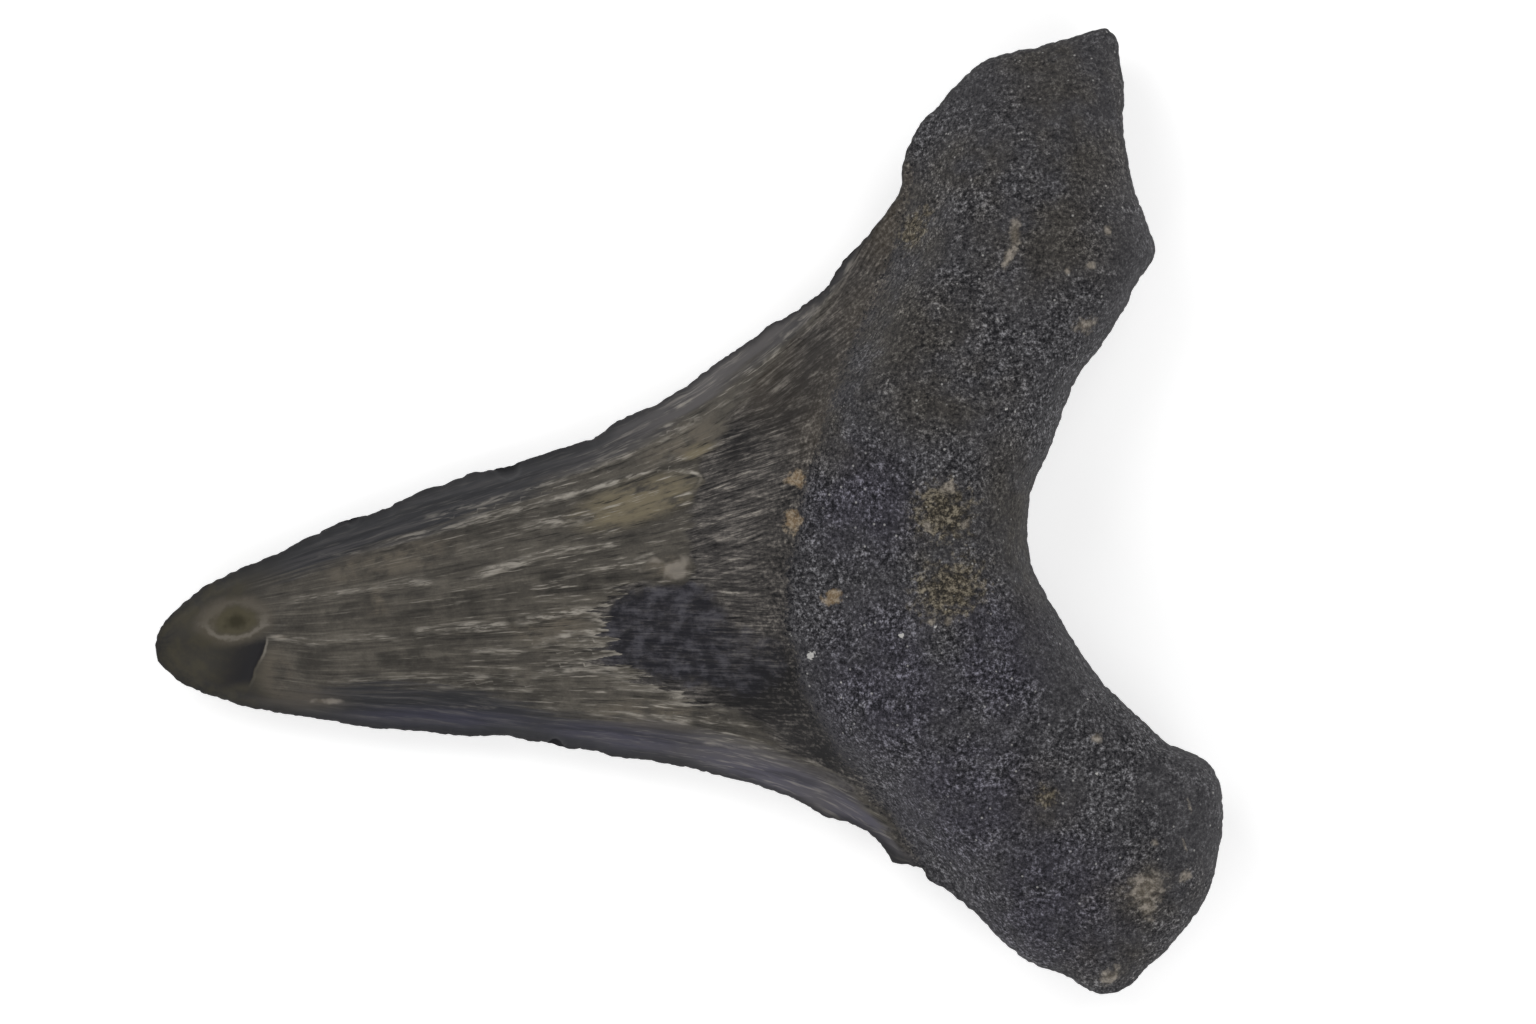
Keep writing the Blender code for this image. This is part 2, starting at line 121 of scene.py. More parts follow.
# Silvery streaks: strength, half width, and the places that each runs through.
STREAKS = (
    (0.9, 0.22, (
        (-41.4, -0.8), (-38.9, -1.2), (-36.3, -2.0), (-33.8, -2.2), (-30.5, -2.1), (-26.9, -3.1),
    )),
    (1.0, 0.34, ((-26.4, -2.0), (-24.9, -2.4), (-22.4, -2.4), (-19.4, -2.6), (-16.2, -2.9))),
    (0.8, 0.26, ((-38.9, 2.4), (-33.9, 2.4), (-29.8, 2.4), (-25.8, 2.5), (-22.4, 2.0))),
    (0.9, 0.32, ((-20.7, 1.9), (-16.9, 2.8), (-14.2, 3.0), (-11.5, 3.5), (-7.5, 3.4), (-4.0, 3.4))),
    (0.95, 0.26, (
        (-29.9, 6.2), (-23.1, 7.3), (-19.6, 7.7), (-16.2, 8.0), (-11.4, 8.6), (-7.7, 9.1), (-4.2, 9.6),
        (-1.5, 10.0), (2.8, 11.6),
    )),
    (0.9, 0.20, (
        (-24.9, 8.7), (-18.8, 9.2), (-12.6, 10.0), (-9.1, 10.7), (-5.7, 11.3), (-2.2, 12.3),
        (0.6, 12.9), (5.4, 14.5),
    )),
    (0.7, 0.20, ((-34.9, 6.4), (-32.6, 6.3), (-30.2, 6.2))),
    (0.7, 0.20, ((-36.0, -6.0), (-31.0, -6.3), (-25.7, -6.8), (-20.1, -7.6), (-15.3, -8.0))),
    (0.75, 0.26, ((-15.7, -8.1), (-11.4, -8.3), (-7.9, -8.7), (-5.2, -9.3))),
    (0.7, 0.22, ((-21.4, -4.9), (-16.4, -5.6), (-12.0, -5.4), (-9.4, -5.9), (-6.8, -6.6))),
    (1.0, 0.38, ((-16.4, -2.8), (-13.0, -2.5), (-10.6, -2.4), (-7.6, -2.8))),
    (0.95, 0.30, ((-14.0, -4.9), (-10.8, -4.7), (-7.2, -5.0))),
    (0.85, 0.22, ((-13.2, -6.8), (-10.0, -7.3), (-7.4, -7.6))),
    (0.8, 0.26, ((-14.4, 6.2), (-11.6, 6.5), (-7.6, 5.9))),
    (0.55, 0.16, ((-25.2, -8.1), (-18.6, -9.0), (-14.6, -9.9))),
    (0.5, 0.16, ((-24.1, -10.1), (-18.8, -10.9))),
    (0.55, 0.16, ((-15.6, -11.5), (-10.7, -12.2))),
    (0.8, 0.30, ((-4.8, -9.9), (-3.7, -10.4), (-1.6, -11.5), (1.6, -12.9), (4.1, -13.6))),
    (0.75, 0.22, ((-1.6, -12.8), (1.0, -13.2), (3.9, -14.5))),
    (0.8, 0.18, (
        (-10.3, -12.9), (-7.6, -13.0), (-4.3, -13.8), (-0.6, -14.8), (2.7, -15.5), (6.6, -16.3),
    )),
    (0.6, 0.18, ((0.5, -17.1), (3.6, -17.9), (8.9, -19.2))),
    (0.8, 0.18, ((2.6, 16.0), (4.6, 16.7))),
    (0.8, 0.16, ((6.9, 15.5), (9.8, 16.6))),
    (0.8, 0.22, ((1.2, 14.2), (5.2, 14.9))),
    (0.6, 0.30, ((12.0, 19.1), (14.4, 20.6))),
    (1.0, 0.30, ((14.0, 21.5), (15.8, 22.6), (18.4, 24.4))),
    (1.0, 0.30, ((16.5, 22.1), (19.4, 24.3), (21.0, 26.0))),
    (0.9, 0.34, ((18.8, 25.2), (21.2, 26.9), (24.0, 29.2))),
    (0.6, 0.14, ((-22.0, 4.6), (-16.0, 5.7), (-9.0, 6.4), (-4.0, 7.4))),
    (0.5, 0.14, ((-13.0, 0.6), (-6.0, 1.3), (0.5, 2.4))),
    (1.0, 0.15, ((0.6, 9.8), (3.3, 9.6), (4.3, 9.0), (4.2, 8.2), (3.4, 7.5), (1.0, 7.0))),
)
# The scar where a flake left the tip: its sharp far side, and how far across the crown that runs.
SPALL_SIDE = (
    (-40.9, 1.5), (-40.9, -0.8), (-41.0, -1.3), (-41.4, -2.2), (-42.0, -3.1), (-42.6, -3.8),
    (-42.9, -4.7), (-43.4, -5.4), (-43.8, -6.1), (-44.4, -7.5),
)
SPALL_ACROSS = (-4.7, -1.0)

# Spots of each kind, as along, across, half length, half width and turn in degrees.
OCHRE_SPOTS = (
    (13.5, 7.5, 1.25, 1.05, 0), (12.6, 3.3, 1.15, 1.35, 0), (15.5, -4.6, 1.15, 1.0, 0),
)
OLIVE_SPOTS = (
    (27.4, 2.1, 3.3, 3.3, 0), (27.1, -5.5, 4.2, 3.2, 10), (-2.6, 7.3, 7.4, 2.6, 9),
    (0.9, 7.6, 3.0, 1.9, 5), (28.8, 30.6, 2.7, 1.3, 50), (4.4, 11.5, 2.2, 0.9, 12),
    (33.6, -27.0, 1.3, 1.2, 0),
)
PALE_SPOTS = (
    (0.7, 0.2, 1.7, 1.2, 15), (-1.6, 0.9, 1.3, 0.7, 10), (44.0, 18.5, 1.2, 0.75, 10),
    (37.7, -45.8, 1.15, 0.75, 30), (39.5, -22.0, 0.6, 0.5, 0), (42.2, -37.6, 2.1, 1.7, 20),
    (42.2, -39.4, 0.9, 1.3, 0), (43.8, -33.2, 0.4, 0.4, 0), (46.4, -37.0, 0.8, 0.5, 30),
    (38.4, 28.4, 0.6, 1.8, -12), (37.4, 26.2, 0.5, 1.3, -30), (45.4, 24.3, 0.45, 0.45, 0),
    (43.0, 24.1, 0.4, 0.35, 0), (47.6, 27.5, 0.35, 0.6, 0), (47.7, -30.1, 0.15, 0.9, 8),
    (46.7, -33.9, 0.15, 0.8, 8), (28.3, 4.5, 0.8, 0.7, 0), (24.7, -8.4, 0.5, 0.4, 0),
    (26.4, -8.6, 0.5, 0.5, 0), (29.6, 0.6, 0.6, 0.5, 0), (25.7, 1.0, 0.4, 0.5, 0),
    (-39.2, -1.0, 1.2, 0.22, -8), (-36.0, -7.9, 1.5, 0.28, -6),
)
# White crystals: along, across and radius.
CRYSTALS = (
    (12.6, -10.1, 0.34), (25.1, -9.0, 0.18), (21.7, -9.3, 0.2), (12.9, -2.3, 0.15), (35.0, 11.4, 0.16),
    (15.1, -13.2, 0.14), (20.4, -30.5, 0.14), (38.9, -25.6, 0.16), (24.9, 5.6, 0.12),
    (30.6, -14.2, 0.14),
)
# Soft clouds of brown over the grey root, and of violet grey, as spots are given. Over the crown's
# smooth margins the violet clouds are partly a painted sheen.
WARM_CLOUDS = (
    (25.8, 20.6, 9, 7, 0), (27.7, 31.0, 6, 8, 0), (35.3, 35.8, 6, 4, 0), (44.6, 45.5, 6, 2.5, 0),
    (18.2, 14.5, 7, 8, 0), (29.5, 13.5, 8, 5, 0), (33.6, -27.1, 4, 4, 0), (41.0, 28.0, 9, 8, 0),
    (27.1, -2.0, 5, 8, 0), (42.0, -38.0, 7, 5, 0), (34.5, 0.0, 4, 11, 0), (46.0, 38.0, 8, 10, 0),
    (38.0, -44.0, 5, 3, 0), (13.5, 17.0, 6, 6, 45),
)
COOL_CLOUDS = (
    (20.0, 4.0, 7, 7, 0), (20.0, -14.0, 9, 10, 0), (26.0, -26.0, 9, 9, 0), (30.0, -13.0, 7, 8, 0),
    (33.0, -37.0, 9, 9, 0), (6.0, -21.0, 10, 2.2, -26), (15.0, -26.5, 6, 2.2, -38),
    (-8.0, -15.6, 10, 2.0, -12), (-26.0, -11.4, 12, 1.8, -8), (-2.0, -5.5, 5, 4, 0),
)
# The dark bruise behind the enamel's ragged end, as a closed outline.
BRUISE = (
    (-8.0, -4.6), (-6.7, -2.2), (-4.2, -1.6), (-1.1, -1.0), (1.6, -0.7), (4.0, -2.1), (4.7, -4.3),
    (5.7, -6.5), (9.4, -7.5), (10.1, -9.7), (8.6, -13.1), (4.5, -12.8), (0.6, -11.2), (-3.4, -10.2),
    (-7.3, -8.6), (-8.4, -7.1), (-7.2, -5.7),
)
# Where the enamel's end is feathered into points, edged with a painted highlight.
FEATHERS = ((-6.5, -5.5, 4.5, 7.0, 0), (-1.0, -11.0, 5.5, 3.0, -20))
# Smoother parts of the root, where the grain is faint.
POLISHED = (
    (45.0, 40.0, 7.0, 12.0, 0), (47.0, -31.0, 5.0, 8.0, 10), (35.0, -2.0, 3.0, 12.0, 0),
    (36.0, -14.0, 3.0, 9.0, 30), (34.0, 44.0, 8.0, 4.0, 0), (50.0, 20.0, 4.0, 8.0, 0),
)
# Corners of the outline, which keep their place while the facets are rounded.
CORNERS = ((49.9, 46.9), (52.1, 23.9), (46.5, -25.7), (38.0, -47.3), (-52.2, -0.4))
# Tan bands of the crown, and its dark blotches.
TAN_CLOUDS = (
    (-40.6, -4.4, 2.0, 3.0, -10), (-38.5, -7.6, 5.5, 1.5, -8), (-12.4, -3.8, 4.5, 2.2, -4),
    (-26.0, 5.0, 6.0, 1.8, 6), (-31.5, 4.6, 3.0, 1.6, 10), (-29.5, 1.0, 1.3, 2.2, 0),
    (-4.0, -13.6, 6.0, 1.6, -10), (3.0, 12.4, 5.0, 1.6, 20), (-0.2, 0.3, 1.8, 1.5, 8),
    (-0.1, 0.1, 1.5, 1.3, 0),
)
BLOTCHES = (
    (-38.0, 0.7, 2.6, 1.3, 0), (-33.5, 0.4, 3.0, 1.0, 0), (-36.8, -3.8, 2.0, 1.6, 0),
    (-30.0, -9.0, 9.0, 1.6, -6), (-18.0, -10.4, 8.0, 1.6, -10), (-27.0, -4.8, 6.0, 1.3, -4),
    (-12.0, 1.0, 5.0, 1.0, 6), (-22.0, 0.2, 4.0, 1.2, 4), (-21.0, -8.2, 7.5, 2.1, -8),
    (-29.0, -7.4, 6.5, 1.5, -3), (8.5, -13.0, 7.5, 5.2, -20), (13.2, -18.8, 6.0, 4.0, -38),
)
FAINT_BLOTCHES = ((14.8, 15.8, 10.0, 3.8, 44), (9.0, 11.4, 4.0, 2.6, 30))
# The worn eye near the tip: its middle, and its half length and half width.
EYE_CENTRE = (-43.75, 1.15)
EYE_HALF = (3.05, 1.75)
# Two rounded ends of the enamel that aren't frayed: along, across and radius.
ROUNDED_ENDS = ((4.0, 8.6, 3.0), (1.4, -0.2, 2.2))
# Chips and small knobs, as along, across, radius and depth or height; and scratches, by their two ends.
CHIPS = (
    (-14.8, 12.6, 1.3, 0.30), (-14.0, -15.6, 0.75, 0.40), (-31.0, 9.7, 0.8, 0.2),
    (30.6, 38.0, 1.0, 0.25),
)
KNOBS = (
    (28.3, 4.5, 0.9, 0.4), (25.6, 0.8, 0.8, 0.25), (37.7, -45.6, 1.3, 0.35), (26.5, -8.2, 1.0, 0.25),
)
SCRATCHES = (
    ((33.2, 40.3), (38.5, 39.1)), ((33.1, 39.7), (38.4, 38.4)), ((-3.5, -16.5), (-3.4, -17.4)),
    ((-2.1, -16.7), (-2.0, -17.5)), ((47.2, -29.3), (47.9, -31.2)), ((46.2, -33.2), (46.9, -34.8)),
)

# ---------------------------------------------------------------- how fine the mesh is cut

MERGE_DISTANCE = 0.001 * MM
LONGEST_SIDE = 2.7 * MM  # of a facet before it is cut fine
LONGEST_FLAT_SIDE = 3.0 * MM  # of a facet that lies on the floor
FLAT_HEIGHT = 0.01 * MM
UPWARD = 0.12  # a face whose normal rises by more than this looks up
SPLIT_ROUNDS = 8
LINGUAL_CUTS = 4
LABIAL_CUTS = 2
SMOOTH_ROUNDS = 34
FLOW_ROUNDS = 40

# ---------------------------------------------------------------- carving, in millimetres

MOBILITY = 0.5  # share of the way that a point moves in each round of softening
PIN_CROWN = 32.0  # the cutting edges are pinned as far as this along the tooth
PIN_FADE = 8.0
CORNER_HOLD = 0.9
CREST_HEIGHT = 0.04  # of the silvery streaks
PIT_RELIEF = 0.25
EYE_DEPTH = 0.14
EYE_BROW = 0.05
SCRATCH_DEPTH = 0.07
PORE_SPACING = 2.3
PORE_RADIUS = 0.5
PORE_SHARE = 0.45
EDGE_BAND = 1.1  # how far in from the outline its nicks reach
EDGE_FILL = 0.14  # how far the outline moves out after its softening
ROOT_EDGE_FILL = 0.05  # and how much more at the root

# ---------------------------------------------------------------- where a field has nothing to tell

FAR = 90.0  # past every edge of the tooth
AWAY = 9.0  # far from a mark, or well inside the outline
LABIAL_LAYER = 40.0  # keeps the labial side's noise apart from the lingual side's
LABIAL_RAGGED = 0.3
LABIAL_MARGIN = 3.0
BRUISE_REACH = 3.0
STREAK_REACH = 5.0  # in half widths of a streak


def tone(red, green, blue):
    """A colour given as screen values of 0 to 255, in the linear values that a shader reads."""
    return tuple(
        v / 12.92 if v <= 0.04045 else ((v + 0.055) / 1.055) ** 2.4
        for v in (red / 255, green / 255, blue / 255)
    )


def colour_property(name, description, red, green, blue):
    """A colour that starts from screen values of 0 to 255."""
    return FloatVectorProperty(
        name=name,
        description=description,
        subtype="COLOR",
        size=3,
        min=0.0,
        max=1.0,
        default=tone(red, green, blue),
    )


def length_property(name, description, metres, least=0.0, most=10.0):
    """A length, or a place's distance, that Blender shows in the scene's units."""
    return FloatProperty(
        name=name,
        description=description,
        default=metres,
        min=least,
        max=most,
        precision=5,
        subtype="DISTANCE",
        unit="LENGTH",
    )


def depth_property(name, description, millimetres):
    """The height or depth of a fine form."""
    return length_property(name, description, millimetres * MM, most=2 * MM)


def power_property(name, description, watts):
    """The power of a light."""
    return FloatProperty(
        name=name, description=description, default=watts, min=0.0, subtype="POWER", unit="POWER"
    )


class ToothRelief(bpy.types.PropertyGroup):
    """Depths of the fine relief."""

    enamel_ledge: depth_property("Enamel ledge", "Height of the worn enamel above the fibres", 0.16)
    streak_ridge: depth_property("Streak ridges", "Height of the long ridges in the enamel", 0.05)
    fibre_groove: depth_property("Fibre grooves", "Depth of the grooves between the fibres", 0.10)
    grain_depth: depth_property("Stone grain", "Height of the root's fine grain", 0.05)
    swell_depth: depth_property("Root swells", "Height of the root's low lumps", 0.16)
    pore_depth: depth_property("Pores", "Depth of the small pores in the root", 0.14)
    edge_wear: depth_property("Edge wear", "How far the cutting edges are nibbled back", 0.16)
    spall_step: depth_property("Scar step", "Height of the sharp side of the scar at the tip", 0.24)


class ToothColours(bpy.types.PropertyGroup):
    """Colours of the fossil enamel, fibres and stone, and of the shade, sheen and highlights painted on
    them.
    """

    enamel_dark: colour_property("Enamel, dark", "Shadowed lines of the worn enamel", 46, 44, 41)
    enamel_mid: colour_property("Enamel", "Worn enamel", 80, 76, 70)
    enamel_light: colour_property("Enamel, light", "Rubbed bands of the worn enamel", 108, 103, 94)
    # Also the colour of the painted highlights along the enamel's feathered end, the scar's edge and the
    # eye's raised edge.
    silver: colour_property("Streaks", "Silvery lines in the enamel", 172, 166, 156)
    margin: colour_property("Margin", "Smooth enamel beside the cutting edges", 52, 52, 55)
    # Partly a painted sheen where the margin nears the root; also the margin's own light bands.
    margin_light: colour_property("Margin, light", "Smooth enamel where it nears the root", 93, 90, 90)
    tip: colour_property("Tip", "Smooth enamel at the tip", 60, 57, 50)
    fibre_dark: colour_property("Fibres, dark", "Hollows of the fibrous band", 31, 30, 31)
    fibre_mid: colour_property("Fibres", "The fibrous band", 76, 73, 71)
    fibre_light: colour_property("Fibres, light", "Crests of the fibrous band", 116, 111, 106)
    stone_dark: colour_property("Stone, dark", "Dark grains of the root", 26, 26, 29)
    stone_mid: colour_property("Stone", "The root's middle grey", 63, 62, 65)
    stone_soft: colour_property("Stone, soft", "The root's lighter grey", 80, 79, 81)
    stone_light: colour_property("Stone, light", "Light grains of the root", 113, 112, 115)
    stone_bright: colour_property("Stone, bright", "Brightest grains of the root", 160, 159, 163)
    warm: colour_property("Brown fibres", "Brown of the fibrous band", 80, 71, 58)
    warm_tint: colour_property("Brown tint", "Tints the root's brown clouds", 253, 245, 222)
    # The bluish and violet margins are partly their own tint and partly a painted sheen of the pale
    # surroundings.
    cool: colour_property("Blue margin", "Bluish margin of the crown", 60, 59, 76)
    cool_tint: colour_property("Violet tint", "Tints the root's violet clouds", 238, 235, 255)
    violet: colour_property("Violet margin", "Violet margin near the root", 86, 84, 97)
    bruise: colour_property("Bruise", "Dark blue patches of the fibres", 31, 31, 38)
    bruise_light: colour_property("Bruise, light", "Wisps in the dark patches", 80, 79, 86)
    ochre: colour_property("Ochre", "Orange-brown spots", 130, 110, 85)
    ochre_light: colour_property("Ochre, light", "Pale grains of the orange-brown spots", 166, 152, 131)
    olive: colour_property("Olive", "Olive-brown patches", 124, 115, 94)
    pit_dark: colour_property("Pits, dark", "Gaps between the pits' grains", 45, 42, 36)
    pit_mid: colour_property("Pits", "Yellow-brown stone of the pits", 90, 83, 70)
    pit_light: colour_property("Pits, light", "Yellow grains of the pits", 150, 141, 122)
    pale: colour_property("Pale stain", "Pale spots and streaks", 166, 158, 147)
    tan: colour_property("Tan", "Tan bands of the worn crown", 108, 100, 88)
    olive_dark: colour_property("Worn patch", "Olive brown of the worn patch at the tip", 84, 78, 58)
    eye: colour_property("Worn eye", "Dark middle of the worn patch at the tip", 42, 38, 19)
    scar: colour_property("Scar", "Floor of the flake scar at the tip", 34, 33, 36)
    # Painted shade: the dark line along the outline and at the margins' edges; it also darkens the
    # margins' own dark bands.
    rim: colour_property("Rim", "The dark outline of the tooth", 34, 34, 37)
    # Also the colour of the painted glints on the root.
    crystal: colour_property("Crystals", "White specks in the stone", 205, 203, 200)


class StageSettings(bpy.types.PropertyGroup):
    """Floor, lights and camera."""

    floor_width: length_property("Floor width", "Side of the square floor", 4.0, least=0.5)
    floor_colour: colour_property("Floor", "Colour of the floor", 244, 244, 244)
    lens: FloatProperty(
        name="Lens",
        description="Focal length",
        default=250.0,
        min=20.0,
        max=400.0,
        subtype="DISTANCE_CAMERA",
    )
    field_width: length_property(
        "Field width", "Width that the camera sees at the height of the tooth's edge", 0.1536, least=0.05
    )
    turn: FloatProperty(
        name="Turn",
        description="How far the view is turned about the vertical",
        default=math.radians(-8),
        subtype="ANGLE",
    )
    key_power: power_property("Key light", "Power of the main softbox", 2.4)
    fill_power: power_property("Fill light", "Power of each fill softbox", 1.7)
    fill_lights: IntProperty(
        name="Fill lights", description="How many fill softboxes stand around", default=3, min=0, max=8
    )
    sky_strength: FloatProperty(
        name="Sky", description="Strength of the white surroundings", default=0.26, min=0.0
    )


# ---------------------------------------------------------------- fields over the tooth


def smooth_step(value, low, high):
    """0 at or below low, 1 at or above high, and a soft rise between."""
    t = np.clip((value - low) / (high - low), 0.0, 1.0)
    return t * t * (3 - 2 * t)


def inside(place, corners):
    """True for each place inside a closed outline."""
    x, y = place.T
    found = np.zeros(len(place), bool)
    for (ax, ay), (bx, by) in zip(corners, corners[1:] + corners[:1]):
        if ay == by:
            continue
        crosses = (ay > y) != (by > y)
        found ^= crosses & (x < (bx - ax) * (y - ay) / (by - ay) + ax)
    return found


def along_line(place, line):
    """Each place's distance from a line of straight pieces, above 0 on the line's left, and the
    share of the line's length that lies before it."""
    lengths = [math.dist(a, b) for a, b in zip(line, line[1:])]
    gap = np.full(len(place), np.inf)
    share = np.zeros(len(place))
    before = 0.0
    for a, b, length in zip(line, line[1:], lengths):
        step = (np.array(b) - np.array(a)) / length
        offset = place - np.array(a)
        reach = np.clip(offset @ step, 0.0, length)
        distance = np.linalg.norm(offset - reach[:, None] * step, axis=1)
        left = step[0] * offset[:, 1] - step[1] * offset[:, 0]
        nearer = distance < np.abs(gap)
        gap = np.where(nearer, np.copysign(distance, left), gap)
        share = np.where(nearer, (before + reach) / sum(lengths), share)
        before += length
    return gap, share


def line_distance(place, line):
    """Each place's distance from a line of straight pieces."""
    return np.abs(along_line(place, line)[0])


def depth_inside(place, corners, line):
    """Distance from a line: above 0 inside the closed outline that it is a side of."""
    return np.where(inside(place, corners), 1.0, -1.0) * line_distance(place, line)


def tipward(place, line):
    """Distance from a line that crosses the tooth: above 0 on the tip's side."""
    corners = line + ((-FAR, line[-1][1] - FAR), (-FAR, line[0][1] + FAR))
    return depth_inside(place, corners, line)


def stream(place):
    """The number of the streak line through each place."""
    x, y = place.T
    rows = [(number, np.interp(x, STREAM_STATIONS, ys)) for number, ys in STREAM_LINES]
    first, last = rows[0], rows[-1]
    number = np.where(y < first[1], first[0] + (y - first[1]), last[0] + (y - last[1]))
    for (low, low_y), (high, high_y) in zip(rows, rows[1:]):
        between = (y >= low_y) & (y <= high_y)
        share = (y - low_y) / np.maximum(high_y - low_y, 0.02)
        number = np.where(between, low + (high - low) * np.clip(share, 0, 1), number)
    return number


def heading(place):
    """The direction of the streak line through each place, as an angle from the tooth's length."""
    step = 0.5
    across = stream(place + (0.0, step)) - stream(place - (0.0, step))
    along = stream(place + (step, 0.0)) - stream(place - (step, 0.0))
    return np.arctan2(-along, np.maximum(across, 0.05))


def spot_radius(place, along, across, half_length, half_width, turn):
    """How far each place is from a spot's middle, where 1 is the spot's edge."""
    c, s = math.cos(math.radians(turn)), math.sin(math.radians(turn))
    dx, dy = place[:, 0] - along, place[:, 1] - across
    return np.hypot((dx * c + dy * s) / half_length, (dy * c - dx * s) / half_width)


def round_radius(place, along, across, radius):
    """How far each place is from a round mark's middle, where 1 is the mark's edge."""
    return np.hypot(place[:, 0] - along, place[:, 1] - across) / radius


def spot_field(place, spots):
    """How deep inside the nearest spot each place lies: 1 at its middle, 0 at its edge, -1 far off."""
    depths = [1.0 - spot_radius(place, *spot) for spot in spots]
    return np.maximum(-1.0, np.max(depths, axis=0))


def cloud_field(place, clouds):
    """Soft overlapping clouds, 0 to 1."""
    shares = [1.0 - smooth_step(spot_radius(place, *cloud), 0.25, 1.25) for cloud in clouds]
    return np.max(shares, axis=0)


def streak_fields(place):
    """How many half widths each place lies to the left of its nearest streak, and the strength
    of that streak there. The strength is gone where one streak's reach meets another's."""
    side = np.full(len(place), AWAY)
    strength = np.zeros(len(place))
    for power, half_width, line in STREAKS:
        gap, share = along_line(place, line)
        relative = gap / half_width
        ends = smooth_step(share, 0.0, 0.1) * smooth_step(-share, -1.0, -0.9)
        near = 1.0 - smooth_step(np.abs(relative), 2.0, 4.0)
        closer = np.abs(relative) < np.abs(side)
        side = np.where(closer, relative, side)
        strength = np.where(closer, power * ends * near, strength)
    return np.clip(side, -STREAK_REACH, STREAK_REACH), strength


def waves(points, size):
    """Smooth noise of about -1 to 1, with waves about size across. size is one length or three."""
    return np.array([noise.noise(Vector(p)) for p in points / np.asarray(size, float)])


def pores(points):
    """1 in the middle of scattered round pores, 0 outside them."""
    depth = np.zeros(len(points))
    for k, p in enumerate(points / PORE_SPACING):
        distances, centres = noise.voronoi(Vector(p))
        kept = noise.cell(centres[0] * 7.3) > 1.0 - 2.0 * PORE_SHARE
        if kept and distances[0] < PORE_RADIUS / PORE_SPACING:
            depth[k] = 1.0 - (distances[0] * PORE_SPACING / PORE_RADIUS) ** 2
    return depth


class Surface:
    """The fine mesh as arrays: its points in millimetres, and which side each one is on."""

    def __init__(self, mesh):
        self.mesh = mesh
        count = len(mesh.vertices)
        self.points = self.read(mesh.vertices, "co", np.float32, 3).astype(float) / MM
        self.edges = self.read(mesh.edges, "vertices", np.int32, 2)
        self.degree = np.bincount(self.edges.ravel(), minlength=count)
        side = np.zeros(len(mesh.polygons), np.int32)
        mesh.attributes["side"].data.foreach_get("value", side)
        corners = self.read(mesh.polygons, "vertices", np.int32, 3)
        self.up = self.touched(corners[side > 0], count)
        self.wall = self.touched(corners[side == 0], count)
        self.find_edge()

    @staticmethod
    def read(items, name, kind, width):
        """One value of each of the mesh's items, as an array with a row for each."""
        values = np.zeros(len(items) * width, kind)
        items.foreach_get(name, values)
        return values.reshape(-1, width)

    @staticmethod
    def touched(corners, count):
        """True for each point that is a corner of these faces."""
        found = np.zeros(count, bool)
        found[corners.ravel()] = True
        return found

    @property
    def place(self):
        """Where each point is on the tooth, as along and across."""
        return self.points[:, :2]

    def lingual(self):
        """True for each point that an upward face touches, unless it lies on the floor."""
        return self.up & (self.points[:, 2] > 0.0)

    def find_edge(self):
        """Each point's distance from the tooth's outline, and the nearest point of it."""
        members = np.flatnonzero(self.wall)
        tree = KDTree(len(members))
        for k in members:
            tree.insert((self.points[k, 0], self.points[k, 1], 0.0), int(k))
        tree.balance()
        found = [tree.find((x, y, 0.0)) for x, y in self.place]
        self.edge_point = np.array([f[0][:2] for f in found])
        self.edge_vertex = np.array([f[1] for f in found])
        self.edge_distance = np.array([f[2] for f in found])

    def averaged(self, values):
        """The mean of each point's neighbours."""
        a, b = self.edges.T
        total = np.bincount(a, values[b], len(values)) + np.bincount(b, values[a], len(values))
        return total / self.degree

    def soften_points(self, mobility, rounds):
        """Points move towards the middle of their neighbours, as far as their mobility lets them."""
        for _ in range(rounds):
            middle = np.stack([self.averaged(self.points[:, k]) for k in range(3)], 1)
            self.points += mobility[:, None] * (middle - self.points)
            self.points[:, 2] = np.maximum(self.points[:, 2], 0.0)

    def softened(self, values, rounds):
        """The values with their jumps from point to point spread out."""
        for _ in range(rounds):
            values = 0.5 * (values + self.averaged(values))
        return values

    def write(self):
        """Puts the points back into the mesh."""
        self.mesh.vertices.foreach_set("co", (self.points * MM).astype(np.float32).ravel())
        self.mesh.update()

    def normals(self):
        """Each point's normal, for the points as they now are."""
        self.write()
        return self.read(self.mesh.vertex_normals, "vector", np.float32, 3).astype(float)

    def raise_points(self, height):
        """Moves each point along its normal, by millimetres. Nothing goes below the floor."""
        self.points += self.normals() * height[:, None]
        self.points[:, 2] = np.maximum(self.points[:, 2], 0.0)

    def keep(self, name, values):
        """Stores a field on the mesh, for the finish to read."""
        values = np.asarray(values, np.float32)
        kind, key = ("FLOAT_VECTOR", "vector") if values.ndim == 2 else ("FLOAT", "value")
        layer = self.mesh.attributes.new(name, kind, "POINT")
        layer.data.foreach_set(key, values.ravel())


# ---------------------------------------------------------------- the tooth's shape


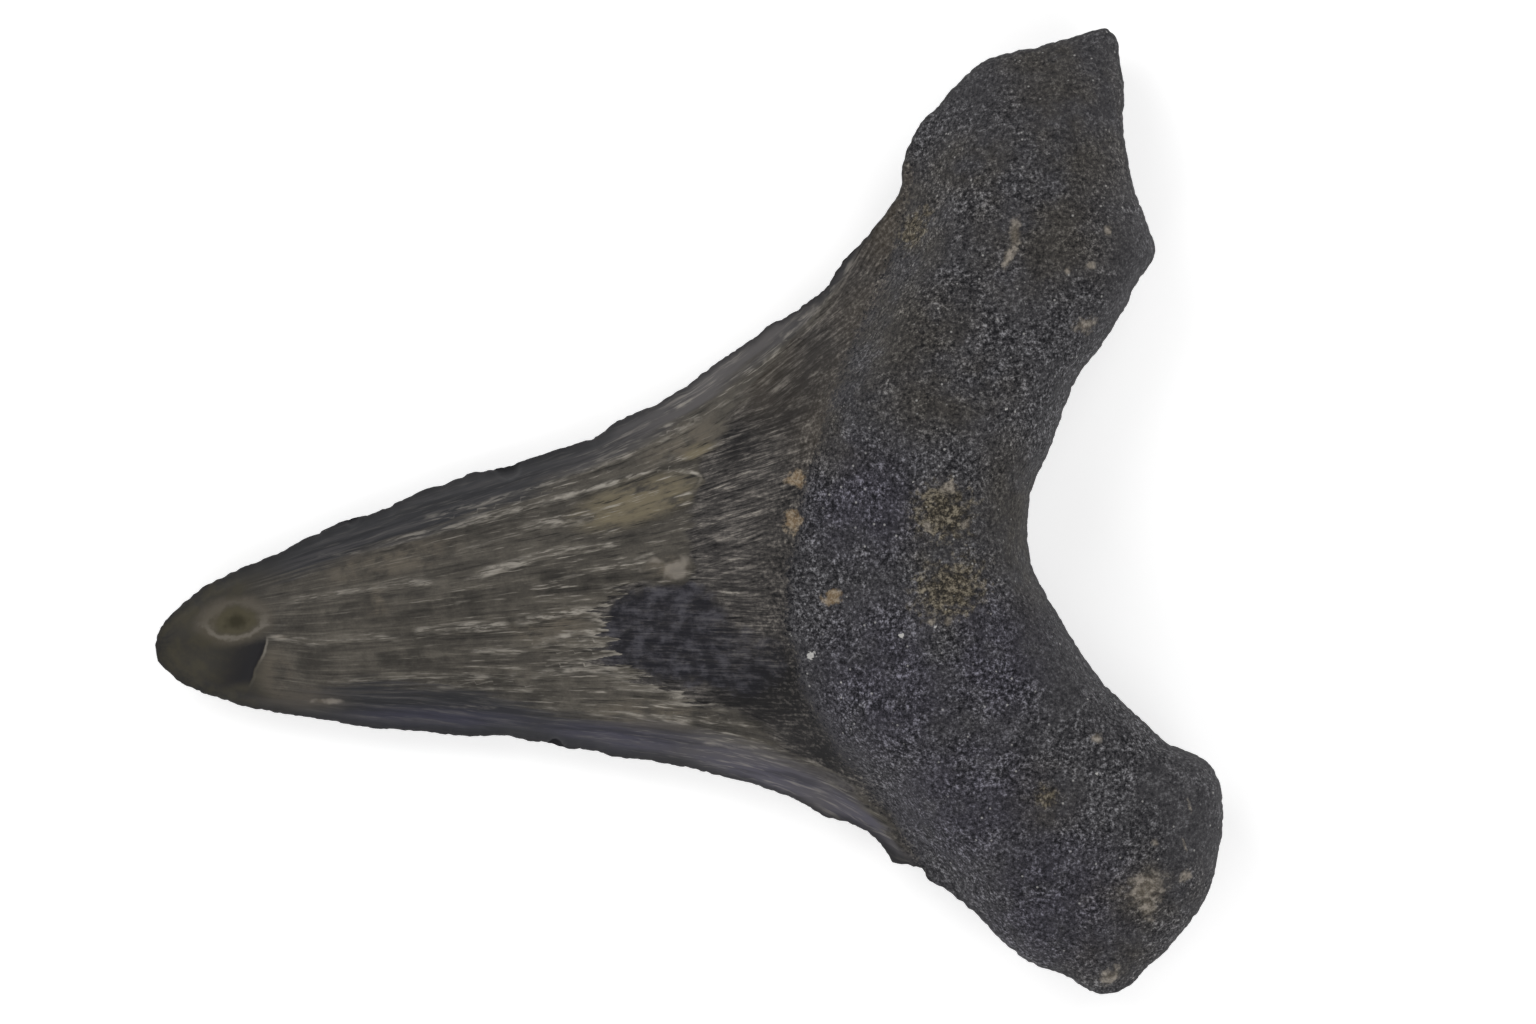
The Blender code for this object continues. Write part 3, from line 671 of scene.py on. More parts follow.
def fine_mesh(node):
    """A merged copy of the solid's mesh, cut fine, and finest on the lingual side."""
    shape = bmesh.new()
    shape.from_mesh(node.data)
    bmesh.ops.remove_doubles(shape, verts=shape.verts, dist=MERGE_DISTANCE)
    for _ in range(SPLIT_ROUNDS):
        long_sides = [e for e in shape.edges if e.calc_length() > longest(e)]
        if not long_sides:
            break
        bmesh.ops.subdivide_edges(shape, edges=long_sides, cuts=1)
        bmesh.ops.triangulate(shape, faces=[f for f in shape.faces if len(f.verts) > 3])
    shape.normal_update()
    side = shape.faces.layers.int.new("side")
    for face in shape.faces:
        face[side] = (face.normal.z > UPWARD) - (face.normal.z < -UPWARD)
    lingual = {e for f in shape.faces if f[side] >= 0 for e in f.edges}
    labial = {e for f in shape.faces if f[side] < 0 for e in f.edges} - lingual
    for sides, cuts in ((labial, LABIAL_CUTS), (lingual, LINGUAL_CUTS)):
        edges = sorted(sides, key=lambda e: e.index)
        bmesh.ops.subdivide_edges(shape, edges=edges, cuts=cuts, use_grid_fill=True)
    bmesh.ops.triangulate(shape, faces=shape.faces[:])
    mesh = bpy.data.meshes.new("fossil_tooth")
    shape.to_mesh(mesh)
    shape.free()
    old_normals = mesh.attributes.get("custom_normal")
    if old_normals:
        mesh.attributes.remove(old_normals)
    return mesh


def longest(side):
    """The longest that this side of a facet may be. The flat resting faces may stay coarser."""
    flat = all(abs(v.co.z) < FLAT_HEIGHT for v in side.verts)
    return LONGEST_FLAT_SIDE if flat else LONGEST_SIDE


def round_facets(surface):
    """Softens the solid's facets, and leaves its thin cutting edges and its corners where they are."""
    on_crown = smooth_step(-surface.points[:, 0], -PIN_CROWN, PIN_FADE - PIN_CROWN)
    pinned = on_crown * (1.0 - smooth_step(surface.edge_distance, 0.05, 1.2))
    for corner in CORNERS:
        gap = np.linalg.norm(surface.place - np.array(corner), axis=1)
        pinned = np.maximum(pinned, CORNER_HOLD * (1.0 - smooth_step(gap, 0.4, 2.2)))
    surface.soften_points(MOBILITY * (1.0 - pinned), SMOOTH_ROUNDS)
    surface.write()


def border_fields(surface, flow, lingual):
    """How far each point is inside the enamel, the crown and the smooth margins."""
    place = surface.place
    along, across = place.T
    ripple = waves(surface.points, 4.0)
    rounded = np.zeros(len(place))
    for x, y, radius in ROUNDED_ENDS:
        rounded = np.maximum(rounded, np.exp(-(((along - x) ** 2 + (across - y) ** 2) / radius**2)))
    ragged = np.where(lingual, 1.0 - 0.85 * rounded, LABIAL_RAGGED)
    lingual_end = tipward(place, ENAMEL_END) + waves(flow, (1.6, 9.0, 1)) * 0.6 * ragged
    lingual_root = tipward(place, ROOT_START) + ripple * 0.7
    labial_root = tipward(place, LABIAL_ROOT_START) + ripple * 0.5
    above = across - np.interp(along, *zip(*UPPER_MARGIN))
    below = np.interp(along, *zip(*LOWER_MARGIN)) - across
    return {
        "ragged": ragged,
        "enamel": np.where(lingual, lingual_end, labial_root),
        "crown": np.where(lingual, lingual_root, labial_root),
        "margin": np.where(lingual, np.maximum(above, below), LABIAL_MARGIN),
    }


def mark_fields(place):
    """The marks of the lingual side. Each is a name, its field, and its value on the labial side."""
    along, across = place.T
    crystals = [(x, y, 2 * radius, 2 * radius, 0) for x, y, radius in CRYSTALS]
    for name, spots in (
        ("ochre", OCHRE_SPOTS),
        ("olive", OLIVE_SPOTS),
        ("pale", PALE_SPOTS),
        ("crystal", crystals),
    ):
        yield name, spot_field(place, spots), -1.0
    for name, clouds in (
        ("warm", WARM_CLOUDS),
        ("cool", COOL_CLOUDS),
        ("tan", TAN_CLOUDS),
        ("polished", POLISHED),
        ("feather", FEATHERS),
    ):
        yield name, cloud_field(place, clouds), 0.0
    faint = cloud_field(place, FAINT_BLOTCHES)
    yield "blotch", np.maximum(cloud_field(place, BLOTCHES), 0.6 * faint), 0.0
    bruise = depth_inside(place, BRUISE, BRUISE + BRUISE[:1])
    yield "dark", np.clip(bruise, -BRUISE_REACH, BRUISE_REACH), -BRUISE_REACH
    eye = np.hypot((along - EYE_CENTRE[0]) / EYE_HALF[0], (across - EYE_CENTRE[1]) / EYE_HALF[1])
    yield "eye", eye, AWAY
    yield "scar", tipward(place, SPALL_SIDE), -AWAY
    low, high = SPALL_ACROSS
    reach = smooth_step(across, low - 1.0, low) * smooth_step(-across, -high - 0.4, -high + 0.4)
    yield "scar_reach", reach, 0.0


def tooth_fields(surface, lingual):
    """Every field that the carving and the finish share, by its name."""
    place = surface.place
    number = surface.softened(stream(place), FLOW_ROUNDS)
    flow = np.stack([number, place[:, 0], np.where(lingual, 0.0, LABIAL_LAYER)], 1)
    streak_side, strength = streak_fields(place)
    fields = {
        "flow": flow,
        "heading": np.where(lingual, surface.softened(heading(place), FLOW_ROUNDS), 0.0),
        "rim": np.minimum(surface.edge_distance, AWAY),
        "streak_side": streak_side,
        "streaks": np.where(lingual, strength, 0.0),
    }
    fields.update(border_fields(surface, flow, lingual))
    for name, values, elsewhere in mark_fields(place):
        fields[name] = np.where(lingual, values, elsewhere)
    return fields


def carve_crown(height, surface, fields, relief, crown):
    """The worn enamel with its ridges and streaks, and the grooves of the fibrous band behind it."""
    along, flow = surface.points[:, 0], fields["flow"]
    off_edge = smooth_step(surface.edge_distance, 0.2, 1.4)
    enamel = smooth_step(fields["enamel"], -0.12, 0.16) * crown
    fibres = crown * (1.0 - enamel)
    worn = enamel * (1.0 - smooth_step(fields["margin"], -0.4, 0.6)) * smooth_step(along, -44.0, -36.0)
    height += relief.enamel_ledge / MM * enamel * off_edge
    ridges = waves(flow, (0.5, 8.0, 1)) + 0.5 * waves(flow, (0.24, 5.0, 1))
    height += relief.streak_ridge / MM * ridges * (0.25 * enamel + 0.75 * worn) * off_edge
    crest = fields["streaks"] * (1.0 - smooth_step(np.abs(fields["streak_side"]), 0.0, 2.0))
    height += CREST_HEIGHT * crest * worn
    strands = np.abs(waves(flow, (0.45, 4.0, 1))) + 0.6 * np.abs(waves(flow, (0.9, 6.0, 1)))
    height -= relief.fibre_groove / MM * strands * fibres * off_edge


def carve_root(height, surface, fields, relief, stone):
    """The root's grain, low swells, pores and rough pits."""
    points = surface.points
    off_edge = smooth_step(surface.edge_distance, 0.2, 1.4)
    grain = waves(points, 0.55) + 0.8 * waves(points, 1.1) + 0.6 * waves(points, 0.34)
    height += relief.grain_depth / MM * grain * stone * 0.6
    swells = waves(points, 3.2) + 0.7 * waves(points, 7.0)
    height += relief.swell_depth / MM * swells * stone * off_edge * 0.6
    height -= relief.pore_depth / MM * pores(points) * stone
    pits = np.maximum(fields["olive"], 0.0) * stone
    height += PIT_RELIEF * waves(points, 0.9) * smooth_step(pits, 0.0, 0.4)


def carve_marks(height, surface, fields, relief, lingual):
    """The worn eye and the flake scar near the tip, the chips, the knobs and the scratches."""
    eye, scar = fields["eye"], fields["scar"]
    height -= EYE_DEPTH * (1.0 - smooth_step(eye, 0.2, 0.95))
    height += EYE_BROW * np.exp(-(((eye - 1.0) / 0.18) ** 2))
    step = smooth_step(scar, -0.1, 0.22) * (1.0 - smooth_step(scar, 0.4, 4.5))
    step = relief.spall_step / MM * step * fields["scar_reach"]
    height -= step * smooth_step(surface.edge_distance, 0.0, 0.8)
    for *middle_and_radius, depth in CHIPS:
        gap = round_radius(surface.place, *middle_and_radius)
        height -= depth * np.clip(1.0 - gap * gap, 0.0, 1.0) ** 0.5 * lingual
    for *middle_and_radius, rise in KNOBS:
        gap = round_radius(surface.place, *middle_and_radius)
        height += rise * (1.0 - smooth_step(gap, 0.2, 1.0)) * lingual
    for line in SCRATCHES:
        gap = line_distance(surface.place, line)
        height -= SCRATCH_DEPTH * (1.0 - smooth_step(gap, 0.05, 0.3)) * lingual


def carve(surface, fields, lingual, relief):
    """Raises and sinks the fine relief. Heights are in millimetres."""
    crown = smooth_step(fields["crown"], -0.3, 0.3)
    height = np.zeros(len(surface.points))
    carve_crown(height, surface, fields, relief, crown)
    carve_root(height, surface, fields, relief, 1.0 - crown)
    carve_marks(height, surface, fields, relief, lingual)
    surface.raise_points(height)


def wear_edges(surface, relief):
    """Nibbles the cutting edges, and fills the outline back to where the softening drew it in."""
    outline = np.column_stack([surface.edge_point, np.zeros(len(surface.points))])
    normals = surface.normals()[surface.edge_vertex]
    normals[:, 2] = 0.0
    normals /= np.maximum(np.linalg.norm(normals, axis=1, keepdims=True), 1e-6)
    bites = np.clip(waves(outline, 1.1) + 0.8 * waves(outline, 0.5) + 0.3, 0.0, 2.0)
    on_root = smooth_step(surface.points[:, 0], 20.0, 30.0)
    worn = relief.edge_wear / MM * bites * (1.0 - 0.2 * on_root)
    share = 1.0 - smooth_step(surface.edge_distance, 0.0, EDGE_BAND)
    filled = EDGE_FILL + ROOT_EDGE_FILL * on_root
    surface.points += normals * ((filled - worn) * share)[:, None]
    low, high = (np.array(corner) / MM for corner in CAD_BOX)
    surface.points = np.clip(surface.points, low, high)
    surface.write()


# ---------------------------------------------------------------- the tooth's finish

# Noise on the Object coordinates has its scale in waves per metre. Noise along the streak lines has it
# in waves per line and per millimetre. The numbers of a rise are where it starts and where it is full.

STONE_ROUGHNESS = 0.82
FIBRE_ROUGHNESS = 0.70
MARGIN_ROUGHNESS = 0.48
ENAMEL_ROUGHNESS = (0.50, 0.68)  # from the dark lines of the worn enamel to the light ones
SPECULAR = 0.16
BUMP_STRENGTH = 0.7
BUMP_HEIGHT = 0.15 * MM
# Headings for which the strands are drawn, in degrees from the tooth's length.
HEADING_STEP = 20
HEADINGS = range(-50, 51, HEADING_STEP)
TURN_OF_FIBRES = 0.5  # radians that the fibres wander from their heading, from side to side


class Finish:
    """Builds one material's nodes. Each call adds nodes and hands back the socket to read.

    The functions of the looks call it f. A share is a number or a socket from 0 to 1.
    """

    def __init__(self, name):
        self.material = bpy.data.materials.new(name)
        self.material.use_nodes = True
        self.tree = self.material.node_tree
        self.shader = self.tree.nodes["Principled BSDF"]

    def add(self, kind, inputs=(), **settings):
        """Adds a node, with its settings and its inputs."""
        node = self.tree.nodes.new("ShaderNode" + kind)
        for name, value in settings.items():
            setattr(node, name, value)
        for key, value in inputs:
            self.put(node.inputs[key], value)
        return node

    def put(self, socket, value):
        """Links a socket to another, or sets its plain value."""
        if isinstance(value, bpy.types.NodeSocket):
            self.tree.links.new(value, socket)
        elif hasattr(value, "__len__") and len(value) == 3 and socket.type == "RGBA":
            socket.default_value = (*value, 1.0)
        else:
            socket.default_value = value

    def field(self, name, output="Fac"):
        """A field that is stored on the mesh."""
        return self.add("Attribute", attribute_name=name).outputs[output]

    def sums(self, operation, a, b=0.0):
        """One sum, such as ADD or MULTIPLY, of two values."""
        return self.add("Math", ((0, a), (1, b)), operation=operation).outputs[0]

    def wander(self, value, texture, reach):
        """A value shifted up or down by up to half of reach, as the noise goes."""
        centred = self.sums("SUBTRACT", texture, 0.5)
        return self.sums("ADD", value, self.sums("MULTIPLY", centred, reach))

    def stretched(self, vector, factors):
        """A vector with each of its parts times its own factor."""
        return self.add("VectorMath", ((0, vector), (1, factors)), operation="MULTIPLY").outputs[0]

    def noise(self, vector, scale, detail=2.0, roughness=0.5, distortion=0.0):
        """Smooth noise of about 0.3 to 0.7, and of 0.5 in the mean."""
        inputs = (
            ("Vector", vector),
            ("Scale", scale),
            ("Detail", detail),
            ("Roughness", roughness),
            ("Distortion", distortion),
        )
        return self.add("TexNoise", inputs).outputs[0]

    def drawn_out(self, flow, across, along, detail, roughness, distortion=0.0):
        """Noise stretched along the streak lines."""
        vector = self.stretched(flow, (across, along, 1.0))
        return self.noise(vector, 1.0, detail, roughness, distortion)

    def cells(self, vector, scale):
        """The distance from the nearest of scattered points."""
        return self.add("TexVoronoi", (("Vector", vector), ("Scale", scale))).outputs["Distance"]

    def rise(self, value, low, high):
        """0 where value is at low, 1 where it is at high, with a soft rise. low may be above high."""
        inputs = (("Value", value), ("From Min", low), ("From Max", high))
        return self.add("MapRange", inputs, interpolation_type="SMOOTHSTEP").outputs[0]

    def split(self, vector, axis):
        """The X, Y or Z part of a vector."""
        return self.add("SeparateXYZ", (("Vector", vector),)).outputs[axis]

    def mix(self, share, a, b, way="MIX"):
        """Colour a where the share is 0 and colour b where it is 1."""
        node = self.add("Mix", data_type="RGBA", blend_type=way)
        for key, value in ((0, share), (6, a), (7, b)):
            self.put(node.inputs[key], value)
        return node.outputs[2]

    def mix_value(self, share, a, b):
        """Number a where the share is 0 and number b where it is 1."""
        node = self.add("Mix", data_type="FLOAT")
        for key, value in ((0, share), (2, a), (3, b)):
            self.put(node.inputs[key], value)
        return node.outputs[0]

    def ramp(self, value, stops):
        """Colours at places from 0 to 1."""
        node = self.add("ValToRGB", (("Fac", value),))
        elements = node.color_ramp.elements
        while len(elements) < len(stops):
            elements.new(0.5)
        for element, (place, colour) in zip(elements, stops):
            element.position = place
            element.color = (*colour, 1.0)
        return node.outputs["Color"]

    def both(self, *shares):
        """The product of several shares."""
        product = shares[0]
        for share in shares[1:]:
            product = self.sums("MULTIPLY", product, share)
        return product

    def blend(self, *parts):
        """The sum of several values, each times its share."""
        total = self.both(*parts[0])
        for part in parts[1:]:
            total = self.sums("ADD", total, self.both(*part))
        return total

    def tint(self, colour, other, *shares):
        """The colour turned towards another one by the product of the shares."""
        return self.mix(self.both(*shares), colour, other)

    def dye(self, colour, tint, share):
        """The colour multiplied by a tint where the share is 1."""
        return self.tint(colour, self.mix(1.0, colour, tint, "MULTIPLY"), share)


def stone_look(f, colours, place):
    """The root: dark stone, peppered with light grains and clouded with brown and violet."""
    grain = f.noise(place, 2750, 2.0, 0.7)
    fine = f.noise(place, 6200, 1.0, 0.5)
    coarse = f.noise(place, 1000, 2.0, 0.6)
    speckle = f.blend((grain, 0.58), (fine, 0.22), (coarse, 0.20))
    zones = f.rise(f.noise(place, 230, 3.0, 0.6), 0.32, 0.66)
    calm = f.sums("MAXIMUM", f.both(f.field("polished"), 0.42), f.both(f.field("warm"), 0.22))
    contrast = f.both(f.mix_value(zones, 0.90, 1.55), f.mix_value(calm, 1.0, 0.0))
    shown = f.sums("ADD", f.both(f.sums("SUBTRACT", speckle, 0.5), contrast), 0.5)
    colour = f.ramp(
        shown,
        (
            (0.36, colours.stone_dark),
            (0.47, colours.stone_mid),
            (0.53, colours.stone_soft),
            (0.60, colours.stone_light),
            (0.68, colours.stone_bright),
        ),
    )
    broad = f.noise(place, 170, 3.0, 0.6)
    cool = f.both(f.field("cool"), f.rise(broad, 0.28, 0.55), 0.75)
    warm = f.both(f.field("warm"), f.rise(broad, 0.70, 0.40), 0.75)
    colour = f.dye(colour, colours.cool_tint, cool)
    colour = f.dye(colour, colours.warm_tint, warm)
    # Painted light: the root is lightened towards its far end, where its edges slope towards the light.
    far_end = f.split(place, "X")
    colour = f.tint(colour, colours.stone_light, f.rise(far_end, 44 * MM, 51 * MM), 0.10)
    shade = f.rise(f.noise(place, 420, 2.0, 0.5), 0.25, 0.75)
    colour = f.tint(colour, colours.stone_dark, f.mix_value(shade, 0.25, 0.0))
    return colour, speckle


def strand_noise(f, place, across, along):
    """Noise drawn out along the crown's own direction, with a given count per metre each way."""
    bend = f.noise(place, 260, 1.0, 0.5)
    turned = f.wander(f.field("heading"), bend, TURN_OF_FIBRES)
    total = None
    for degrees in HEADINGS:
        angle = math.radians(degrees)
        gap = f.sums("ABSOLUTE", f.sums("SUBTRACT", turned, angle))
        ends = (("Value", gap), ("From Min", math.radians(HEADING_STEP)), ("From Max", 0.0))
        share = f.add("MapRange", ends)
        axes = f.add("VectorRotate", (("Vector", place), ("Angle", -angle)), rotation_type="Z_AXIS")
        strands = f.noise(f.stretched(axes.outputs[0], (along, across, along)), 1.0, 4.0, 0.68, 0.35)
        part = f.sums("MULTIPLY", share.outputs[0], strands)
        total = f.sums("ADD", total, part) if total else part
    return total


def fibre_look(f, colours, place, along):
    """The band behind the enamel: fine dark and light strands that run along the crown."""
    grain = f.noise(place, 2600, 2.0, 0.6)
    near_root = f.both(f.rise(f.field("crown"), 4.5, 0.0), 0.5)
    strands = f.mix_value(near_root, strand_noise(f, place, 3600, 330), grain)
    broad = f.noise(place, 420, 4.0, 0.62)
    value = f.blend((strands, 0.70), (broad, 0.18), (grain, 0.12))
    colour = f.ramp(
        value,
        (
            (0.40, colours.fibre_dark),
            (0.50, colours.fibre_mid),
            (0.565, colours.fibre_light),
            (0.64, colours.silver),
        ),
    )
    colour = f.tint(colour, colours.warm, f.field("warm"), 0.40)
    grey_end = f.both(f.rise(f.field("crown"), 5.0, 1.0), f.mix_value(f.field("warm"), 0.22, 0.0))
    colour = f.tint(colour, colours.fibre_dark, grey_end)
    patchy = f.mix_value(f.rise(broad, 0.66, 0.40), 0.80, 1.0)
    shaded = f.mix(f.rise(value, 0.49, 0.61), colours.fibre_dark, colours.fibre_mid)
    colour = f.tint(colour, shaded, f.field("blotch"), patchy)
    wisps = f.mix_value(0.35, f.noise(place, 700, 4.0, 0.62), strands)
    bruise = f.mix(f.rise(wisps, 0.43, 0.64), colours.bruise, colours.bruise_light)
    ragged = f.wander(f.wander(f.field("dark"), f.noise(place, 330, 4.0, 0.6), 4.5), strands, 3.0)
    dark = f.both(f.rise(ragged, -0.4, 0.6), f.mix_value(f.rise(along, 1.0, 9.0), 0.88, 0.45))
    return f.tint(colour, bruise, dark), strands


def enamel_look(f, colours, place, flow):
    """The crown: olive-brown enamel rubbed into long silvery streaks."""
    broad = f.drawn_out(flow, 0.40, 0.055, 4.0, 0.6)
    lines = f.drawn_out(flow, 2.4, 0.13, 3.0, 0.65)
    threads = f.drawn_out(flow, 7.0, 0.50, 2.0, 0.6)
    cloud = f.drawn_out(flow, 0.9, 0.22, 4.0, 0.65)
    grit = f.noise(place, 4200, 2.0, 0.6)
    mottle = f.noise(place, 520, 4.0, 0.62)
    value = f.blend((broad, 0.30), (lines, 0.24), (cloud, 0.16), (mottle, 0.22), (grit, 0.08))
    along = f.split(flow, "Y")
    frayed = f.rise(along, -34.0, -6.0)
    browns = ((0.385, colours.enamel_dark), (0.50, colours.enamel_mid), (0.615, colours.enamel_light))
    worn = f.ramp(value, browns)
    olive = f.both(f.rise(f.field("olive"), -0.1, 0.5), f.rise(cloud, 0.33, 0.54))
    worn = f.tint(worn, colours.olive, olive, f.mix_value(f.rise(lines, 0.40, 0.55), 0.70, 0.92))
    streaky = f.mix_value(f.rise(threads, 0.40, 0.58), 0.45, 1.0)
    worn = f.tint(worn, colours.tan, f.field("tan"), f.rise(mottle, 0.34, 0.60), streaky, 0.75)
    worn = f.tint(worn, colours.enamel_dark, f.field("blotch"), f.rise(mottle, 0.66, 0.40), 0.52)
    thin = f.both(f.rise(lines, 0.53, 0.66), f.rise(threads, 0.48, 0.62))
    worn = f.tint(worn, colours.silver, thin, f.mix_value(frayed, 0.18, 0.85))
    dull = f.both(f.rise(lines, 0.46, 0.36), f.rise(threads, 0.54, 0.40))
    worn = f.tint(worn, colours.enamel_dark, dull, f.mix_value(frayed, 0.24, 0.95))
    worn, core = silver_streaks(f, colours, flow, worn, threads, frayed)
    return worn, core, f.blend((lines, 0.6), (threads, 0.4)), along


def silver_streaks(f, colours, flow, worn, threads, frayed):
    """The streaks that are placed one by one, each with its soft halo and a shadow along one side."""
    strength = f.field("streaks")
    wobble = f.drawn_out(flow, 1.0, 0.20, 2.0, 0.55)
    wisps = f.drawn_out(flow, 3.4, 0.42, 3.0, 0.6, 0.5)
    side = f.wander(f.wander(f.field("streak_side"), wobble, 3.4), threads, 1.2)
    shadow = f.rise(f.sums("ABSOLUTE", f.sums("ADD", side, 2.0)), 1.3, 0.3)
    worn = f.tint(worn, colours.enamel_dark, shadow, strength, f.rise(threads, 0.62, 0.42), 0.6)
    runs = f.drawn_out(flow, 1.2, 0.42, 3.0, 0.6)
    breaks = f.mix_value(f.rise(runs, 0.40, 0.60), 0.20, 1.0)
    gap = f.sums("ABSOLUTE", side)
    core = f.both(f.rise(gap, 2.0, 0.1), strength, breaks, f.rise(wisps, 0.40, 0.58))
    core = f.both(core, f.mix_value(frayed, 0.68, 0.95))
    halo = f.both(f.rise(gap, 3.6, 0.5), strength, f.rise(threads, 0.40, 0.60), 0.30)
    worn = f.tint(worn, colours.enamel_light, halo)
    return f.tint(worn, colours.silver, core), core


def margin_look(f, colours, flow, lines, along):
    """The smooth enamel beside the cutting edges: painted shade darkens it at the edge, and its bluish
    tint and its lightening near the root are partly its own colour and partly a painted sheen.
    """
    soft = f.drawn_out(flow, 0.5, 0.05, 3.0, 0.55)
    # Lighter towards the root, and bluish to violet where the cool clouds lie: partly the enamel's own
    # colour, partly a painted sheen.
    near_root = f.rise(along, -16.0, 8.0)
    margin = f.tint(colours.margin, colours.margin_light, near_root, f.rise(soft, 0.20, 0.60))
    violet = f.mix(f.rise(along, -20.0, 8.0), colours.cool, colours.violet)
    margin = f.tint(margin, violet, f.field("cool"), 0.8)
    margin = f.tint(margin, colours.tip, f.rise(along, -36.0, -43.0), 0.85)
    margin = f.tint(margin, colours.tan, f.field("tan"), 0.5)
    bands = f.drawn_out(flow, 1.1, 0.07, 3.0, 0.6)
    off_tip = f.rise(along, -44.0, -32.0)
    margin = f.tint(margin, colours.margin_light, f.rise(bands, 0.48, 0.62), off_tip, 0.35)
    margin = f.tint(margin, colours.rim, f.rise(bands, 0.50, 0.38), off_tip, 0.45)
    faint = f.both(f.rise(lines, 0.50, 0.66), f.mix_value(near_root, 0.12, 0.40), off_tip)
    margin = f.tint(margin, colours.silver, faint)
    # Painted shade: the margin darkens towards the outline, where the enamel turns away from the light,
    # most near the tip.
    reach = f.mix_value(near_root, 1.9, 0.9)
    edge = f.rise(f.wander(f.field("rim"), soft, 1.6), reach, 0.2)
    return f.tint(margin, colours.rim, edge, f.mix_value(near_root, 0.75, 0.55)), soft


def tip_marks(f, colours, place, colour, along):
    """The flake scar and the worn eye near the tip, with painted highlights along the scar's edge and
    the eye's raised edge.
    """
    cloud = f.noise(place, 520, 4.0, 0.6)
    near_tip = f.rise(along, -39.0, -46.0)
    colour = f.tint(colour, colours.olive_dark, near_tip, f.rise(cloud, 0.35, 0.65), 0.35)
    ripple = f.noise(place, 900, 2.0, 0.5)
    scar, reach = f.wander(f.field("scar"), ripple, 0.25), f.field("scar_reach")
    floor = f.both(f.rise(scar, -0.05, 0.10), f.rise(scar, 5.0, 0.6), reach, 0.97)
    colour = f.tint(colour, colours.scar, floor)
    across = f.split(place, "Y")
    # Painted highlight along the scar's sharp edge, stronger on its upper side.
    upper = f.mix_value(f.rise(across, -3.6 * MM, -2.0 * MM), 0.15, 1.0)
    lit = f.both(f.rise(scar, -0.36, -0.16), f.rise(scar, 0.0, -0.10), reach, upper, 0.36)
    colour = f.tint(colour, colours.silver, lit)
    eye = f.wander(f.field("eye"), cloud, 1.0)
    colour = f.tint(colour, colours.olive_dark, f.rise(eye, 1.0, 0.55), 0.7)
    colour = f.tint(colour, colours.tan, f.rise(eye, 0.62, 0.95), f.rise(eye, 1.6, 1.0), 0.42)
    # Painted highlight on the eye's raised brow, stronger on its lower side.
    lower = f.rise(across, 1.9 * MM, -0.1 * MM)
    eye_rim_highlight = f.both(f.rise(eye, 0.80, 0.98), f.rise(eye, 1.18, 1.0), f.mix_value(lower, 0.03, 0.22))
    colour = f.tint(colour, colours.silver, eye_rim_highlight)
    return f.tint(colour, colours.eye, f.rise(eye, 0.58, 0.05), 0.85)


def root_marks(f, colours, place, colour, speckle, root_share):
    """Ochre and pale stains, pits of yellow grains, white crystals and painted glints, with painted
    shade in the pits.
    """
    mottle = f.noise(place, 1300, 3.0, 0.65)
    light_grains = f.rise(speckle, 0.44, 0.58)
    pits = f.both(f.rise(f.wander(f.field("olive"), mottle, 2.2), -0.1, 0.7), root_share, 0.85)
    # Painted shade: the grains are a little darker in the hollow middle of each pit.
    pit_shade = f.both(f.rise(f.field("olive"), 0.15, 0.9), 0.03)
    grains = f.sums("SUBTRACT", f.wander(speckle, mottle, 0.26), pit_shade)
    pit_colours = ((0.41, colours.pit_dark), (0.50, colours.pit_mid), (0.60, colours.pit_light))
    pit_colour = f.ramp(grains, pit_colours)
    colour = f.tint(colour, pit_colour, pits)
    ochre = f.rise(f.wander(f.field("ochre"), mottle, 1.8), 0.0, 0.55)
    ochre_colour = f.mix(f.rise(speckle, 0.42, 0.58), colours.ochre, colours.ochre_light)
    colour = f.tint(colour, ochre_colour, ochre, f.rise(mottle, 0.28, 0.42), 0.85)
    stain_noise = f.mix_value(root_share, f.noise(place, 620, 2.0, 0.5), mottle)
    pale = f.rise(f.wander(f.field("pale"), stain_noise, 2.2), -0.30, 0.72)
    speckled = f.mix_value(root_share, 1.0, f.mix_value(light_grains, 0.72, 1.0))
    pale_colour = f.mix(f.rise(stain_noise, 0.40, 0.62), colours.tan, colours.pale)
    colour = f.tint(colour, pale_colour, pale, speckled, f.mix_value(root_share, 0.5, 0.9))
    crystal = f.rise(f.wander(f.field("crystal"), f.noise(place, 3000, 1.0, 0.5), 1.6), 0.35, 0.6)
    colour = f.tint(colour, colours.crystal, crystal, 0.9)
    # Painted glints: scattered specks of highlight on the root, in the crystals' colour.
    kept = f.rise(f.noise(place, 700, 0.0, 0.5), 0.50, 0.58)
    glints = f.both(f.rise(f.cells(place, 900), 0.14, 0.06), kept, root_share, 0.55)
    return f.tint(colour, colours.crystal, glints)


def enamel_end(f, flow, strands):
    """How much of each place the enamel covers, and the share of the painted highlight along its end."""
    feather, ragged = f.field("feather"), f.field("ragged")
    fingers = f.blend((f.drawn_out(flow, 1.5, 0.13, 3.0, 0.55), 0.7), (strands, 0.3))
    reach = f.both(ragged, f.mix_value(feather, 6.0, 12.0))
    edge = f.wander(f.field("enamel"), fingers, reach)
    spread = f.both(f.mix_value(feather, 0.6, 0.14), f.rise(ragged, -0.2, 1.0))
    share = f.rise(edge, f.sums("MULTIPLY", spread, -1.0), spread)
    lip_highlight = f.both(f.rise(edge, -0.05, 0.12), f.rise(edge, 1.6, 0.15), f.rise(strands, 0.44, 0.56))
    return share, f.both(lip_highlight, feather, 0.7)


